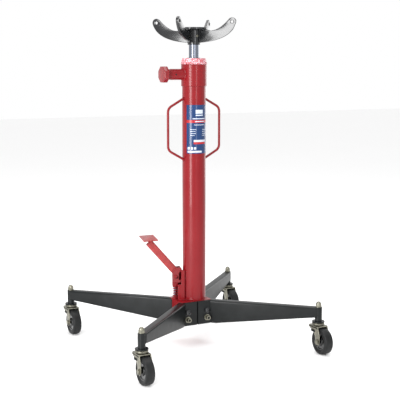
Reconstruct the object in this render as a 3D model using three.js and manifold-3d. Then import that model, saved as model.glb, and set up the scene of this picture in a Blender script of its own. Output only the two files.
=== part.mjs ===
// A vertical hydraulic transmission jack: four tapered legs on swivel casters carry a pump block, a tall column
// with a chrome ram, and a four-armed swivelling saddle. A foot pedal works the pump plunger.
// Millimetres, +Z up, +X to the jack's right, -Y to its front. The origin is on the floor, at the middle of the
// jack's overall length and depth.
import * as THREE from "three";
import { mergeVertices } from "three/addons/utils/BufferGeometryUtils.js";
import Module from "manifold-3d";

const wasm = await Module();
wasm.setup();

// ---------------------------------------------------------------- driving dimensions

// Fits
const GAP = 0.3; // between pieces that touch or are welded together
const PLAY = 0.5; // radial, between a piece that moves and what guides it
const EDGE_BREAK = 1.5; // on the edges of turned pieces
const OVERCUT = 1; // how far a cutter stands past the face it opens

// Stance and casters
const STEM_SPACING_X = 672;
const STEM_SPACING_Y = 636;
const WHEEL_DIAMETER = 90;
const WHEEL_WIDTH = 33;
const WHEEL_EDGE = 6; // rounding of the tread's shoulders
const HUB_DIAMETER = 34;
const HUB_STEP = 2.5; // how far the hub face lies inside the tyre's side
const CASTER_TRAIL = 26;
const WHEEL_HEADROOM = 4; // between tread and fork crown
const FORK_STEEL = 3.4;
const FORK_SIDE_PLAY = 1.5; // between the tyre's side and the fork's
const FORK_LENGTH = 52;
const FORK_EYE_RADIUS = 12; // of the steel round the axle
const AXLE_DIAMETER = 9;
const AXLE_HEAD = 5.5; // thickness of the axle's head and nut
const AXLE_HEAD_ACROSS = 15;
const RACE_DIAMETER = 44;
const RACE_HEIGHT = 11;
const STEM_DIAMETER = 12;
const STEM_HEAD = 3;
const STEM_HEAD_DIAMETER = 20;
const ACORN_NUT_ACROSS = 19;
const ACORN_NUT_HEIGHT = 20;
const STEM_IN_NUT = 12; // how far the stem stands above the post, inside its nut

// Legs
const FOOT_DISC_DIAMETER = 50;
const FOOT_DISC = 6;
const RACE_TO_DISC = 2.6;
const POST_DIAMETER = 25;
const POST_HEIGHT = 43;
const LEG_WIDTH = 31;
const LEG_ROOT_DEPTH = 84;
const LEG_TIP_DEPTH = 35;
const LEG_EDGE = 7; // rounding of the leg's long edges
const FLANGE_LENGTH = 56;
const FLANGE_THICKNESS = 8;
const FLANGE_SCREW_INSET = 20; // from the flange's inner end
const UPPER_SCREW_DROP = 35; // below the leg's top
const LOWER_SCREW_DROP = 61;

// Pump block
const BLOCK_LENGTH = 120;
const BLOCK_DEPTH = 98;
const BLOCK_HEIGHT = 85;
const BLOCK_EDGE = 3;

// Flange screws
const SCREW_DIAMETER = 10;
const SCREW_REACH = 22; // into the block
const WASHER = 2;
const WASHER_DIAMETER = 22;
const UPPER_HEAD_DIAMETER = 20;
const UPPER_HEAD = 6.5;
const LOWER_HEAD_DIAMETER = 16;
const LOWER_HEAD = 12;
const HEX_KEY = 8;
const HEX_KEY_DEPTH = 5;

// Column
const COLUMN_OFFSET = 16; // column axis right of the block's middle
const COLUMN_DIAMETER = 82;
const COLUMN_WALL = 4;
const COLUMN_SEAT = 6; // depth of its seat in the block
const COLUMN_HEIGHT = 830; // block top to collar top
const COLLAR_DIAMETER = 89;
const COLLAR_HEIGHT = 75;
const GLAND_DIAMETER = 84;
const GLAND_HEIGHT = 21;
const GLAND_SPIGOT = 24;
const CYLINDER_DIAMETER = 54;
const CYLINDER_WALL = 4;
const SEAL_DIAMETER = 48;
const SEAL_HEIGHT = 4;
const SEAL_STANDOUT = 1.5;
const RAM_DIAMETER = 35;
const RAM_STANDOUT = 46; // bare ram between gland and saddle, lowered
const PISTON_HEIGHT = 30;
const PISTON_FOOT = 12; // from the cylinder's foot to the piston, lowered

// Saddle
const SOCKET_DIAMETER = 44;
const SOCKET_HEIGHT = 52;
const DISC_DIAMETER = 94;
const DISC_THICKNESS = 7;
const ARM_THICKNESS = 8;
const ARM_REACH = 140; // axis to the middle of the arm's hole
const ARM_RISE = 76.5; // hole above the socket's foot
const ARM_TIP_RADIUS = 14.5;
const ARM_HOLE = 10.5;
const ARM_FOOT = 7; // arm's lowest point above the socket's foot
const SADDLE_TURN = -4; // degrees, from the arms pointing at the four corners
const ARM_ANGLES = { front_left: 225, front_right: 315, rear_right: 45, rear_left: 135 };
const SET_SCREW_DIAMETER = 8;
const SET_SCREW_HEIGHT = 30;

// Side handles
const HANDLE_ROD = 8.5;
const HANDLE_REACH = 101;
const HANDLE_TOP = 713; // above the block
const HANDLE_BOTTOM = 501;
const HANDLE_SLOPE = 29; // degrees, of the rod's two slanted ends
const HANDLE_BEND = 26; // radius

// Release valve
const VALVE_DROP = 34; // below the collar's top
const VALVE_BODY_DIAMETER = 38;
const VALVE_BODY_END = 104; // from the column's axis
const VALVE_SPINDLE_DIAMETER = 16;
const KNOB_DIAMETER = 60; // across its corners
const KNOB_THICKNESS = 18;
const KNOB_STANDOFF = 3;
const KNOB_EDGE = 3;

// Foot pump, in the plane that runs out from the column's axis
const PUMP_TURN = 18; // degrees, from straight left towards the rear
const PLUNGER_REACH = 69; // column axis to plunger axis
const PLUNGER_DIAMETER = 11;
const BARREL_DIAMETER = 16;
const BARREL_COLLAR_DIAMETER = 22;
const BARREL_COLLAR = 5;
const BARREL_DEPTH = 60;
const SPRING_WIRE = 3.4;
const SPRING_DIAMETER = 20;
const SPRING_TURNS = 5.5;
const HEAD_LENGTH = 19.5;
const HEAD_WIDTH = 19;
const HEAD_FOOT = 45; // above the block
const HEAD_SOCKET = 14; // how far the plunger stands inside its head
const HEAD_CLEARANCE = 1.5;
const PIN_DIAMETER = 8;
const PIN_HEAD = 2; // height of a pin's head, and how far it stands out
const PLUNGER_PIN_HEIGHT = 83; // above the block
const FULCRUM_REACH = 45.5;
const FULCRUM_HEIGHT = 66;
const FULCRUM_PIN_DIAMETER = 6;
const FULCRUM_PIN_SUNK = 0.7; // of each end, inside the post's face
const POST_INNER = 31; // nearest and farthest distance of the bracket's post from the column's axis
const POST_OUTER = 50.5;
const BRACKET_REACH = 62.5; // of the two low side walls round the plunger
const BRACKET_TOP = 107; // of the post's near half
const BRACKET_FAR_TOP = 80; // of its far half
const BRACKET_SHELF = 54; // top of the low side walls
const BRACKET_FLOOR = 40; // floor of the slot that the lever swings in
const EAR_THICKNESS = 9;
const CHEEK_THICKNESS = 4;
const CHEEK_TO_EAR = 1.5;
const SLOT_PLAY = 1.1; // round the plunger's pin, in the cheeks' slots
const CHEEK_LAP = 10; // along the lever, where the cheeks are welded to it
const CHEEK_BOSS = 5.4; // radius of the cheek round the fulcrum pin
const LEVER_ANGLE = 49; // above level, released
const LEVER_HEIGHT = 26;
const LEVER_WIDTH = 22;
const LEVER_WALL = 2.5;
const LEVER_EDGE = 5;
const LEVER_LENGTH = 142;
const LEVER_HEEL_RISE = 16.5; // from the plunger pin up to the lever's centre line
const PEDAL_LENGTH = 106;
const PEDAL_WIDTH = 51;
const PEDAL_THICKNESS = 4;
const PEDAL_TILT = 2.5; // degrees, down at the outer end
const PEDAL_TWIST = 3; // degrees, from square across the lever
const PEDAL_RISE = 4.5; // underside above the top of the lever's end
const PEDAL_OVERHANG = 11; // middle of the plate beyond the lever's end

// ---------------------------------------------------------------- levels worked out from them

const WHEEL_RADIUS = WHEEL_DIAMETER / 2;
const FORK_TOP = WHEEL_DIAMETER + WHEEL_HEADROOM + FORK_STEEL;
const RACE_TOP = FORK_TOP + GAP + RACE_HEIGHT;
const DISC_FOOT = RACE_TOP + RACE_TO_DISC;
const LEG_TOP = DISC_FOOT + FOOT_DISC + POST_HEIGHT;
const BLOCK_TOP = LEG_TOP + 1;
const BLOCK_FOOT = BLOCK_TOP - BLOCK_HEIGHT;
const COLUMN_FOOT = BLOCK_TOP - COLUMN_SEAT + GAP;
const COLLAR_TOP = BLOCK_TOP + COLUMN_HEIGHT;
const GLAND_FOOT = COLLAR_TOP + GAP;
const GLAND_TOP = GLAND_FOOT + GLAND_HEIGHT;
const SOCKET_FOOT = GLAND_TOP + RAM_STANDOUT;
const SADDLE_DISC_FOOT = SOCKET_FOOT + SOCKET_HEIGHT + GAP;
const VALVE_LEVEL = COLLAR_TOP - VALVE_DROP;
const COLUMN_RADIUS = COLUMN_DIAMETER / 2;
const FORK_INNER = WHEEL_WIDTH / 2 + FORK_SIDE_PLAY;
const FORK_OUTER = FORK_INNER + FORK_STEEL;
// The casters trail to the front, so the jack's overall box is centred behind the stems' middle.
const CENTRE_SHIFT = (CASTER_TRAIL + WHEEL_RADIUS - FOOT_DISC_DIAMETER / 2) / 2;
const CHEEK_INNER = LEVER_WIDTH / 2 + GAP;
const SLOT_HALF = CHEEK_INNER + CHEEK_THICKNESS + CHEEK_TO_EAR;
const BRACKET_HALF = SLOT_HALF + EAR_THICKNESS;

const ROUND = 32;
const SMALL_ROUND = 14;
const degrees = THREE.MathUtils.degToRad;

// ---------------------------------------------------------------- solids

function toSolid(geometry) {
  const bare = new THREE.BufferGeometry().setAttribute("position", geometry.getAttribute("position"));
  if (geometry.index) bare.setIndex(geometry.index);
  const merged = mergeVertices(bare, 1e-4);
  const triangles = new Uint32Array(merged.index.array);
  return new wasm.Manifold(
    new wasm.Mesh({ numProp: 3, vertProperties: merged.attributes.position.array, triVerts: triangles }),
  );
}

function toGeometry(solid) {
  const mesh = solid.getMesh();
  const geometry = new THREE.BufferGeometry();
  geometry.setAttribute("position", new THREE.BufferAttribute(mesh.vertProperties, 3));
  geometry.setIndex(new THREE.BufferAttribute(mesh.triVerts, 1));
  return geometry.toNonIndexed();
}

function join(...pieces) {
  return toGeometry(pieces.map(toSolid).reduce((whole, piece) => whole.add(piece)));
}

function cut(body, ...tools) {
  return toGeometry(tools.map(toSolid).reduce((whole, tool) => whole.subtract(tool), toSolid(body)));
}

// A solid of revolution about Z. The profile is a list of [radius, height], either closed on itself or from
// the axis to the axis.
function turned(profile, segments = ROUND) {
  const points = profile.map(([radius, height]) => new THREE.Vector2(radius, height));
  if (THREE.ShapeUtils.area(points) < 0) points.reverse();
  const open = points[0].x === 0 && points.at(-1).x === 0;
  if (!open) points.push(points[0]);
  return new THREE.LatheGeometry(points, segments).rotateX(Math.PI / 2);
}

function rod(radius, low, high, segments = SMALL_ROUND) {
  return turned([[0, low], [radius, low], [radius, high], [0, high]], segments);
}

// The cutter for a round hole. Its flats, not its corners, lie at the radius, so what fits the radius fits it.
function hole(radius, low, high, segments = SMALL_ROUND) {
  return rod(radius / Math.cos(Math.PI / segments), low, high, segments);
}

function tube(outer, inner, low, high, segments = ROUND) {
  return turned([[inner, low], [outer, low], [outer, high], [inner, high]], segments);
}

function block(lowX, highX, lowY, highY, lowZ, highZ) {
  return new THREE.BoxGeometry(highX - lowX, highY - lowY, highZ - lowZ).translate(
    (lowX + highX) / 2,
    (lowY + highY) / 2,
    (lowZ + highZ) / 2,
  );
}

// An outline drawn in X and Z, made solid across Y and centred on Y = 0. A rounding takes its material from
// the outline's own edge, so the overall size stays as drawn.
function slab(outline, width, edge = 0, edgeSteps = 2) {
  const options = { depth: width - 2 * edge, bevelEnabled: edge > 0, curveSegments: 6 };
  if (edge > 0) {
    options.bevelThickness = edge;
    options.bevelSize = edge;
    options.bevelOffset = -edge;
    options.bevelSegments = edgeSteps;
  }
  const geometry = new THREE.ExtrudeGeometry(outline, options).rotateX(Math.PI / 2);
  return geometry.translate(0, width / 2 - edge, 0);
}

function outlineOf(points) {
  return new THREE.Shape(points.map(([x, z]) => new THREE.Vector2(x, z)));
}

function circleAt(x, z, radius) {
  return new THREE.Path().absarc(x, z, radius, 0, 2 * Math.PI, true);
}

function prism(sides, acrossCorners, low, high) {
  return rod(acrossCorners / 2, low, high, sides);
}

function alongX(geometry) {
  return geometry.rotateY(Math.PI / 2);
}

function alongY(geometry) {
  return geometry.rotateX(-Math.PI / 2);
}

// ---------------------------------------------------------------- finishes

const finishes = {
  redPaint: { color: 0xb0333e, roughness: 0.35, metalness: 0 },
  blackPaint: { color: 0x32393c, roughness: 0.45, metalness: 0 },
  saddleBlack: { color: 0x141517, roughness: 0.2, metalness: 0 },
  chrome: { color: 0xc9ccd0, roughness: 0.08, metalness: 1 },
  zinc: { color: 0xb5b3a6, roughness: 0.35, metalness: 1 },
  steel: { color: 0x8b8d90, roughness: 0.4, metalness: 1 },
  rubber: { color: 0x2b2d2f, roughness: 0.75, metalness: 0 },
};

function piece(name, geometry, finish) {
  const mesh = new THREE.Mesh(geometry, new THREE.MeshStandardMaterial(finishes[finish]));
  mesh.geometry.computeVertexNormals();
  mesh.name = name;
  return mesh;
}

// ---------------------------------------------------------------- pump block and its screws

const SCREW_X = FLANGE_LENGTH - FLANGE_SCREW_INSET + 2;
const SCREW_LEVELS = { upper: LEG_TOP - UPPER_SCREW_DROP, lower: LEG_TOP - LOWER_SCREW_DROP };
const PUMP_DIRECTION = degrees(180 - PUMP_TURN);
const PLUNGER_AT = new THREE.Vector2(
  COLUMN_OFFSET + PLUNGER_REACH * Math.cos(PUMP_DIRECTION),
  PLUNGER_REACH * Math.sin(PUMP_DIRECTION),
);

function pumpBlock() {
  const outline = new THREE.Shape();
  const halfLength = BLOCK_LENGTH / 2;
  const halfDepth = BLOCK_DEPTH / 2;
  outline.moveTo(-halfLength + BLOCK_EDGE, -halfDepth);
  outline.lineTo(halfLength - BLOCK_EDGE, -halfDepth);
  outline.lineTo(halfLength, -halfDepth + BLOCK_EDGE);
  outline.lineTo(halfLength, halfDepth - BLOCK_EDGE);
  outline.lineTo(halfLength - BLOCK_EDGE, halfDepth);
  outline.lineTo(-halfLength + BLOCK_EDGE, halfDepth);
  outline.lineTo(-halfLength, halfDepth - BLOCK_EDGE);
  outline.lineTo(-halfLength, -halfDepth + BLOCK_EDGE);
  const body = new THREE.ExtrudeGeometry(outline, { depth: BLOCK_HEIGHT, bevelEnabled: false });
  body.translate(0, 0, BLOCK_FOOT);
  const over = BLOCK_TOP + OVERCUT;
  const columnSeat = hole(COLUMN_RADIUS + GAP, BLOCK_TOP - COLUMN_SEAT, over, ROUND);
  const barrelBore = hole(BARREL_DIAMETER / 2 + GAP, BLOCK_TOP - BARREL_DEPTH - GAP, over);
  const screwHoles = [-1, 1].flatMap((side) =>
    [-1, 1].flatMap((face) =>
      Object.values(SCREW_LEVELS).map((level) => {
        const bore = hole(SCREW_DIAMETER / 2 + GAP, halfDepth - SCREW_REACH - GAP, halfDepth + OVERCUT);
        if (face > 0) alongY(bore);
        else bore.rotateX(Math.PI / 2);
        return bore.translate(side * SCREW_X, 0, level);
      }),
    ),
  );
  return cut(
    body,
    columnSeat.translate(COLUMN_OFFSET, 0, 0),
    barrelBore.translate(PLUNGER_AT.x, PLUNGER_AT.y, 0),
    ...screwHoles,
  );
}

// A screw along +Y: its head stands out past the flange's outer face, at Y = 0.
function flangeScrew(headDiameter, headHeight, socket) {
  const shank = SCREW_DIAMETER / 2;
  const seat = WASHER + GAP;
  const screw = turned([
    [0, -SCREW_REACH - FLANGE_THICKNESS],
    [shank, -SCREW_REACH - FLANGE_THICKNESS],
    [shank, GAP],
    [WASHER_DIAMETER / 2, GAP],
    [WASHER_DIAMETER / 2, seat],
    [headDiameter / 2, seat],
    [headDiameter / 2, seat + headHeight - 1],
    [headDiameter / 2 - 1, seat + headHeight],
    [0, seat + headHeight],
  ], SMALL_ROUND);
  if (!socket) return screw;
  return cut(screw, prism(6, HEX_KEY * 1.155, seat + headHeight - HEX_KEY_DEPTH, seat + headHeight + OVERCUT));
}

// ---------------------------------------------------------------- legs

// The front left leg, with its flange flat on the block's front face. The others are its mirror images.
function leg() {
  const stem = new THREE.Vector2(-STEM_SPACING_X / 2, -STEM_SPACING_Y / 2);
  const corner = new THREE.Vector2(-BLOCK_LENGTH / 2, -BLOCK_DEPTH / 2);
  const run = stem.clone().sub(corner);
  const length = run.length();
  const buried = LEG_WIDTH;
  const slope = (LEG_ROOT_DEPTH - LEG_TIP_DEPTH) / length;
  const bar = slab(
    outlineOf([
      [-buried, LEG_TOP - LEG_ROOT_DEPTH],
      [0, LEG_TOP - LEG_ROOT_DEPTH],
      [length, LEG_TOP - LEG_ROOT_DEPTH + slope * length],
      [length, LEG_TOP],
      [-buried, LEG_TOP],
    ]),
    LEG_WIDTH,
    LEG_EDGE,
  );
  bar.rotateZ(Math.atan2(run.y, run.x)).translate(corner.x, corner.y, 0);
  const face = -BLOCK_DEPTH / 2 - GAP;
  const flange = block(
    corner.x, corner.x + FLANGE_LENGTH + 2, face - FLANGE_THICKNESS, face,
    LEG_TOP - LEG_ROOT_DEPTH, LEG_TOP,
  );
  const post = rod(POST_DIAMETER / 2, DISC_FOOT + FOOT_DISC / 2, LEG_TOP);
  const disc = rod(FOOT_DISC_DIAMETER / 2, DISC_FOOT, DISC_FOOT + FOOT_DISC, ROUND);
  const bore = hole(STEM_DIAMETER / 2 + GAP, DISC_FOOT - OVERCUT, LEG_TOP + OVERCUT);
  const clearOfBlock = block(
    corner.x - GAP, -corner.x, corner.y - GAP, -corner.y,
    BLOCK_FOOT - LEG_ROOT_DEPTH, LEG_TOP + OVERCUT,
  );
  const screwHoles = Object.values(SCREW_LEVELS).map((level) => {
    const screwHole = hole(SCREW_DIAMETER / 2 + GAP, -FLANGE_THICKNESS - OVERCUT, FLANGE_THICKNESS + OVERCUT);
    return alongY(screwHole).translate(-SCREW_X, face, level);
  });
  // The bar starts at the bend, clear of the screws' washers on the flange's outer face.
  const washersSpace = block(
    -SCREW_X - WASHER_DIAMETER / 2 - 1, 0, face - FLANGE_THICKNESS - LEG_WIDTH, face - FLANGE_THICKNESS,
    LEG_TOP - LEG_ROOT_DEPTH - OVERCUT, LEG_TOP + OVERCUT,
  );
  const whole = join(
    cut(bar, clearOfBlock, washersSpace),
    flange,
    post.translate(stem.x, stem.y, 0),
    disc.translate(stem.x, stem.y, 0),
  );
  return cut(whole, bore.translate(stem.x, stem.y, 0), ...screwHoles);
}

// ---------------------------------------------------------------- casters

// Each caster piece is drawn about its stem, with the wheel trailing towards -Y.
function casterStem() {
  const shank = STEM_DIAMETER / 2;
  const headTop = FORK_TOP - FORK_STEEL - GAP;
  const race = RACE_DIAMETER / 2;
  return turned([
    [0, headTop - STEM_HEAD],
    [STEM_HEAD_DIAMETER / 2, headTop - STEM_HEAD],
    [STEM_HEAD_DIAMETER / 2, headTop],
    [shank, headTop],
    [shank, FORK_TOP + GAP],
    [race - 3, FORK_TOP + GAP],
    [race, FORK_TOP + GAP + 3],
    [race, RACE_TOP - 5],
    [race - 5, RACE_TOP - 1],
    [shank + 5, RACE_TOP],
    [shank + 5, DISC_FOOT - GAP],
    [shank, DISC_FOOT - GAP],
    [shank, LEG_TOP + STEM_IN_NUT],
    [0, LEG_TOP + STEM_IN_NUT],
  ], 16);
}

function acornNut() {
  const foot = LEG_TOP + GAP;
  const top = LEG_TOP + ACORN_NUT_HEIGHT;
  const radius = ACORN_NUT_ACROSS / 2;
  const hexTop = foot + ACORN_NUT_HEIGHT * 0.48;
  const dome = turned([
    [0, foot],
    [radius, foot],
    [radius, hexTop],
    [radius * 0.92, hexTop + 3],
    [radius * 0.7, top - 2.5],
    [radius * 0.4, top - 0.7],
    [0, top],
  ], SMALL_ROUND);
  const hexagon = prism(6, ACORN_NUT_ACROSS * 1.155, foot, hexTop);
  const bore = hole(STEM_DIAMETER / 2 + GAP, foot - OVERCUT, LEG_TOP + STEM_IN_NUT + GAP);
  return cut(join(dome, hexagon), bore);
}

function casterFork() {
  const crown = FORK_TOP - FORK_STEEL;
  const front = FORK_LENGTH / 2;
  const eye = FORK_EYE_RADIUS;
  // Side plate, drawn with its X as the jack's Y.
  const side = new THREE.Shape();
  side.moveTo(front, FORK_TOP);
  side.lineTo(-front, FORK_TOP);
  side.lineTo(-front - 3, FORK_TOP - 10);
  side.quadraticCurveTo(-CASTER_TRAIL - eye - 1, WHEEL_RADIUS + 20, -CASTER_TRAIL - eye, WHEEL_RADIUS);
  side.absarc(-CASTER_TRAIL, WHEEL_RADIUS, eye, Math.PI, 2 * Math.PI, false);
  side.quadraticCurveTo(-CASTER_TRAIL + eye + 4, FORK_TOP - 20, front, FORK_TOP - 9);
  side.holes.push(circleAt(-CASTER_TRAIL, WHEEL_RADIUS, AXLE_DIAMETER / 2 + GAP));
  const plates = [-1, 1].map((at) =>
    slab(side, FORK_STEEL)
      .rotateZ(Math.PI / 2)
      .translate(at * (FORK_OUTER - FORK_STEEL / 2), 0, 0),
  );
  const top = block(-FORK_OUTER, FORK_OUTER, -front, front, crown, FORK_TOP);
  return cut(join(top, ...plates), hole(STEM_DIAMETER / 2 + PLAY, crown - OVERCUT, FORK_TOP + OVERCUT));
}

function casterAxle() {
  const end = FORK_OUTER + GAP;
  const shaft = rod(AXLE_DIAMETER / 2, -end - 1, end + 1);
  const corners = AXLE_HEAD_ACROSS * 1.155;
  const head = prism(6, corners, end, end + AXLE_HEAD);
  const nut = prism(6, corners, -end - AXLE_HEAD, -end);
  return alongX(join(shaft, head, nut)).translate(0, -CASTER_TRAIL, WHEEL_RADIUS);
}

function casterWheel() {
  const half = WHEEL_WIDTH / 2;
  const hubHalf = half - HUB_STEP;
  const bore = AXLE_DIAMETER / 2 + PLAY;
  const wheel = turned([
    [bore, -hubHalf],
    [HUB_DIAMETER / 2, -hubHalf],
    [WHEEL_RADIUS - 2 * WHEEL_EDGE, -half],
    [WHEEL_RADIUS - WHEEL_EDGE, -half],
    [WHEEL_RADIUS, -half + WHEEL_EDGE],
    [WHEEL_RADIUS, half - WHEEL_EDGE],
    [WHEEL_RADIUS - WHEEL_EDGE, half],
    [WHEEL_RADIUS - 2 * WHEEL_EDGE, half],
    [HUB_DIAMETER / 2, hubHalf],
    [bore, hubHalf],
  ], 28);
  return alongX(wheel).translate(0, -CASTER_TRAIL, WHEEL_RADIUS);
}

// ---------------------------------------------------------------- column, drawn about its own axis

function collar() {
  const outer = COLLAR_DIAMETER / 2;
  const inner = COLUMN_RADIUS + GAP;
  const foot = COLLAR_TOP - COLLAR_HEIGHT;
  const ring = turned([
    [inner, foot],
    [outer - EDGE_BREAK, foot],
    [outer, foot + EDGE_BREAK],
    [outer, COLLAR_TOP - EDGE_BREAK],
    [outer - EDGE_BREAK, COLLAR_TOP],
    [inner, COLLAR_TOP],
  ]);
  const spindleHole = hole(VALVE_SPINDLE_DIAMETER / 2 + PLAY, -COLLAR_DIAMETER, 0);
  return cut(ring, alongX(spindleHole).translate(0, 0, VALVE_LEVEL));
}

function columnTube() {
  return tube(COLUMN_RADIUS, COLUMN_RADIUS - COLUMN_WALL, COLUMN_FOOT, COLLAR_TOP - COLLAR_HEIGHT / 2 + 30);
}

function glandRing() {
  const outer = GLAND_DIAMETER / 2;
  const bore = RAM_DIAMETER / 2 + PLAY;
  const spigot = COLUMN_RADIUS - COLUMN_WALL - PLAY;
  const sealSeat = SEAL_DIAMETER / 2 + GAP;
  const sealFoot = GLAND_TOP + SEAL_STANDOUT - SEAL_HEIGHT - GAP;
  return turned([
    [bore, GLAND_FOOT - GLAND_SPIGOT],
    [spigot, GLAND_FOOT - GLAND_SPIGOT],
    [spigot, GLAND_FOOT],
    [outer, GLAND_FOOT],
    [outer, GLAND_TOP - 4],
    [outer - 4, GLAND_TOP],
    [sealSeat, GLAND_TOP],
    [sealSeat, sealFoot],
    [bore, sealFoot],
  ]);
}

function wiperSeal() {
  const inner = RAM_DIAMETER / 2 + PLAY;
  const outer = SEAL_DIAMETER / 2;
  const top = GLAND_TOP + SEAL_STANDOUT;
  return turned([
    [inner + 1, top - SEAL_HEIGHT],
    [outer, top - SEAL_HEIGHT],
    [outer, top - EDGE_BREAK],
    [outer - 2 * EDGE_BREAK, top],
    [inner, top],
    [inner, top - EDGE_BREAK],
  ]);
}

const CYLINDER_FOOT = COLUMN_FOOT;
const CYLINDER_TOP = GLAND_FOOT - GLAND_SPIGOT - GAP;
const PISTON_LEVEL = CYLINDER_FOOT + PISTON_FOOT;

function cylinderTube() {
  const outer = CYLINDER_DIAMETER / 2;
  return tube(outer, outer - CYLINDER_WALL, CYLINDER_FOOT, CYLINDER_TOP);
}

function ramPiston() {
  const radius = CYLINDER_DIAMETER / 2 - CYLINDER_WALL - PLAY;
  const groove = radius - 2;
  const top = PISTON_LEVEL + PISTON_HEIGHT;
  return turned([
    [0, PISTON_LEVEL],
    [radius, PISTON_LEVEL],
    [radius, PISTON_LEVEL + 9],
    [groove, PISTON_LEVEL + 9],
    [groove, PISTON_LEVEL + 15],
    [radius, PISTON_LEVEL + 15],
    [radius, top],
    [0, top],
  ]);
}

function ram() {
  const radius = RAM_DIAMETER / 2;
  const top = SADDLE_DISC_FOOT - 2;
  return turned([
    [0, PISTON_LEVEL + PISTON_HEIGHT + GAP],
    [radius, PISTON_LEVEL + PISTON_HEIGHT + GAP],
    [radius, top - 2],
    [radius - 2, top],
    [0, top],
  ]);
}

// ---------------------------------------------------------------- saddle, drawn about its own axis

function saddleSocket() {
  const outer = SOCKET_DIAMETER / 2;
  const inner = RAM_DIAMETER / 2 + PLAY;
  const shell = turned([
    [inner, SOCKET_FOOT],
    [outer - EDGE_BREAK, SOCKET_FOOT],
    [outer, SOCKET_FOOT + EDGE_BREAK],
    [outer, SOCKET_FOOT + SOCKET_HEIGHT],
    [inner, SOCKET_FOOT + SOCKET_HEIGHT],
  ], 32);
  const screwHole = hole(SET_SCREW_DIAMETER / 2 + GAP, 0, SOCKET_DIAMETER);
  return cut(shell, screwHole.rotateX(Math.PI / 2).translate(0, 0, SOCKET_FOOT + SET_SCREW_HEIGHT));
}

function saddleDisc() {
  const radius = DISC_DIAMETER / 2;
  const top = SADDLE_DISC_FOOT + DISC_THICKNESS;
  return turned([
    [0, SADDLE_DISC_FOOT],
    [radius - EDGE_BREAK, SADDLE_DISC_FOOT],
    [radius, SADDLE_DISC_FOOT + EDGE_BREAK],
    [radius, top - EDGE_BREAK],
    [radius - EDGE_BREAK, top],
    [0, top],
  ]);
}

// One arm, drawn outward along +X. Its root is welded to the socket and under the disc.
function saddleArm() {
  const root = SOCKET_DIAMETER / 2 + GAP;
  const rim = DISC_DIAMETER / 2;
  const underDisc = SOCKET_HEIGHT;
  const outerTangent = degrees(-20);
  const innerTangent = degrees(125);
  const tip = (angle) => [
    ARM_REACH + ARM_TIP_RADIUS * Math.cos(angle),
    ARM_RISE + ARM_TIP_RADIUS * Math.sin(angle),
  ];
  const belly = [ARM_REACH * 0.67, ARM_FOOT + 5, ARM_REACH, ARM_FOOT + 24];
  const back = [ARM_REACH - 24, ARM_RISE - 4, ARM_REACH - 47, underDisc - 4];
  const outline = new THREE.Shape();
  outline.moveTo(root, ARM_FOOT);
  outline.bezierCurveTo(...belly, ...tip(outerTangent));
  outline.absarc(ARM_REACH, ARM_RISE, ARM_TIP_RADIUS, outerTangent, innerTangent, false);
  outline.bezierCurveTo(...back, rim + 14, underDisc - 4);
  outline.lineTo(rim + 2, underDisc - GAP);
  outline.lineTo(root, underDisc - GAP);
  outline.holes.push(circleAt(ARM_REACH, ARM_RISE, ARM_HOLE / 2));
  return slab(outline, ARM_THICKNESS).translate(0, 0, SOCKET_FOOT);
}

function setScrew() {
  const tip = RAM_DIAMETER / 2 + GAP;
  const screw = rod(SET_SCREW_DIAMETER / 2, tip, SOCKET_DIAMETER / 2 + 3);
  const key = prism(6, 4.6, SOCKET_DIAMETER / 2, SOCKET_DIAMETER / 2 + 4);
  return cut(screw, key).rotateX(Math.PI / 2).translate(0, 0, SOCKET_FOOT + SET_SCREW_HEIGHT);
}

// ---------------------------------------------------------------- side handles and release valve

// The right handle: a bent rod, its ends welded to the column.
function sideHandle() {
  const slope = degrees(HANDLE_SLOPE);
  const drop = (HANDLE_REACH - COLUMN_RADIUS) * Math.tan(slope);
  const top = BLOCK_TOP + HANDLE_TOP;
  const bottom = BLOCK_TOP + HANDLE_BOTTOM;
  const inward = COLUMN_RADIUS - 6;
  const extra = 6 * Math.tan(slope);
  const corners = [
    new THREE.Vector3(inward, 0, top + extra),
    new THREE.Vector3(HANDLE_REACH, 0, top - drop),
    new THREE.Vector3(HANDLE_REACH, 0, bottom + drop),
    new THREE.Vector3(inward, 0, bottom - extra),
  ];
  const tangent = HANDLE_BEND * Math.tan((Math.PI / 2 - slope) / 2);
  const route = new THREE.CurvePath();
  let from = corners[0];
  for (const index of [1, 2]) {
    const corner = corners[index];
    const before = corner.clone().add(from.clone().sub(corner).setLength(tangent));
    const after = corner.clone().add(corners[index + 1].clone().sub(corner).setLength(tangent));
    route.add(new THREE.LineCurve3(from, before));
    route.add(new THREE.QuadraticBezierCurve3(before, corner, after));
    from = after;
  }
  route.add(new THREE.LineCurve3(from, corners[3]));
  const section = new THREE.Shape().absarc(0, 0, HANDLE_ROD / 2, 0, 2 * Math.PI, false);
  const bent = new THREE.ExtrudeGeometry(section, { steps: 32, curveSegments: 4, extrudePath: route });
  return cut(bent, hole(COLUMN_RADIUS + GAP, bottom - 50, top + 50, ROUND));
}

// The valve body and knob are drawn along +X from the column's axis, and turned to face left.
function valveBody() {
  const radius = VALVE_BODY_DIAMETER / 2;
  const body = turned([
    [VALVE_SPINDLE_DIAMETER / 2 + PLAY, 0],
    [radius, 0],
    [radius, VALVE_BODY_END - 2],
    [radius - 2, VALVE_BODY_END],
    [VALVE_SPINDLE_DIAMETER / 2 + PLAY, VALVE_BODY_END],
  ], 32);
  const grubHole = rod(3, radius - 6, radius + 1, 12).rotateX(Math.PI / 2).translate(0, 0, 0);
  const level = alongX(body);
  const collarSpace = hole(COLLAR_DIAMETER / 2 + GAP, -VALVE_BODY_DIAMETER, VALVE_BODY_DIAMETER, ROUND);
  return cut(level, collarSpace, grubHole.translate(VALVE_BODY_END - 26, 0, 0));
}

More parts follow.
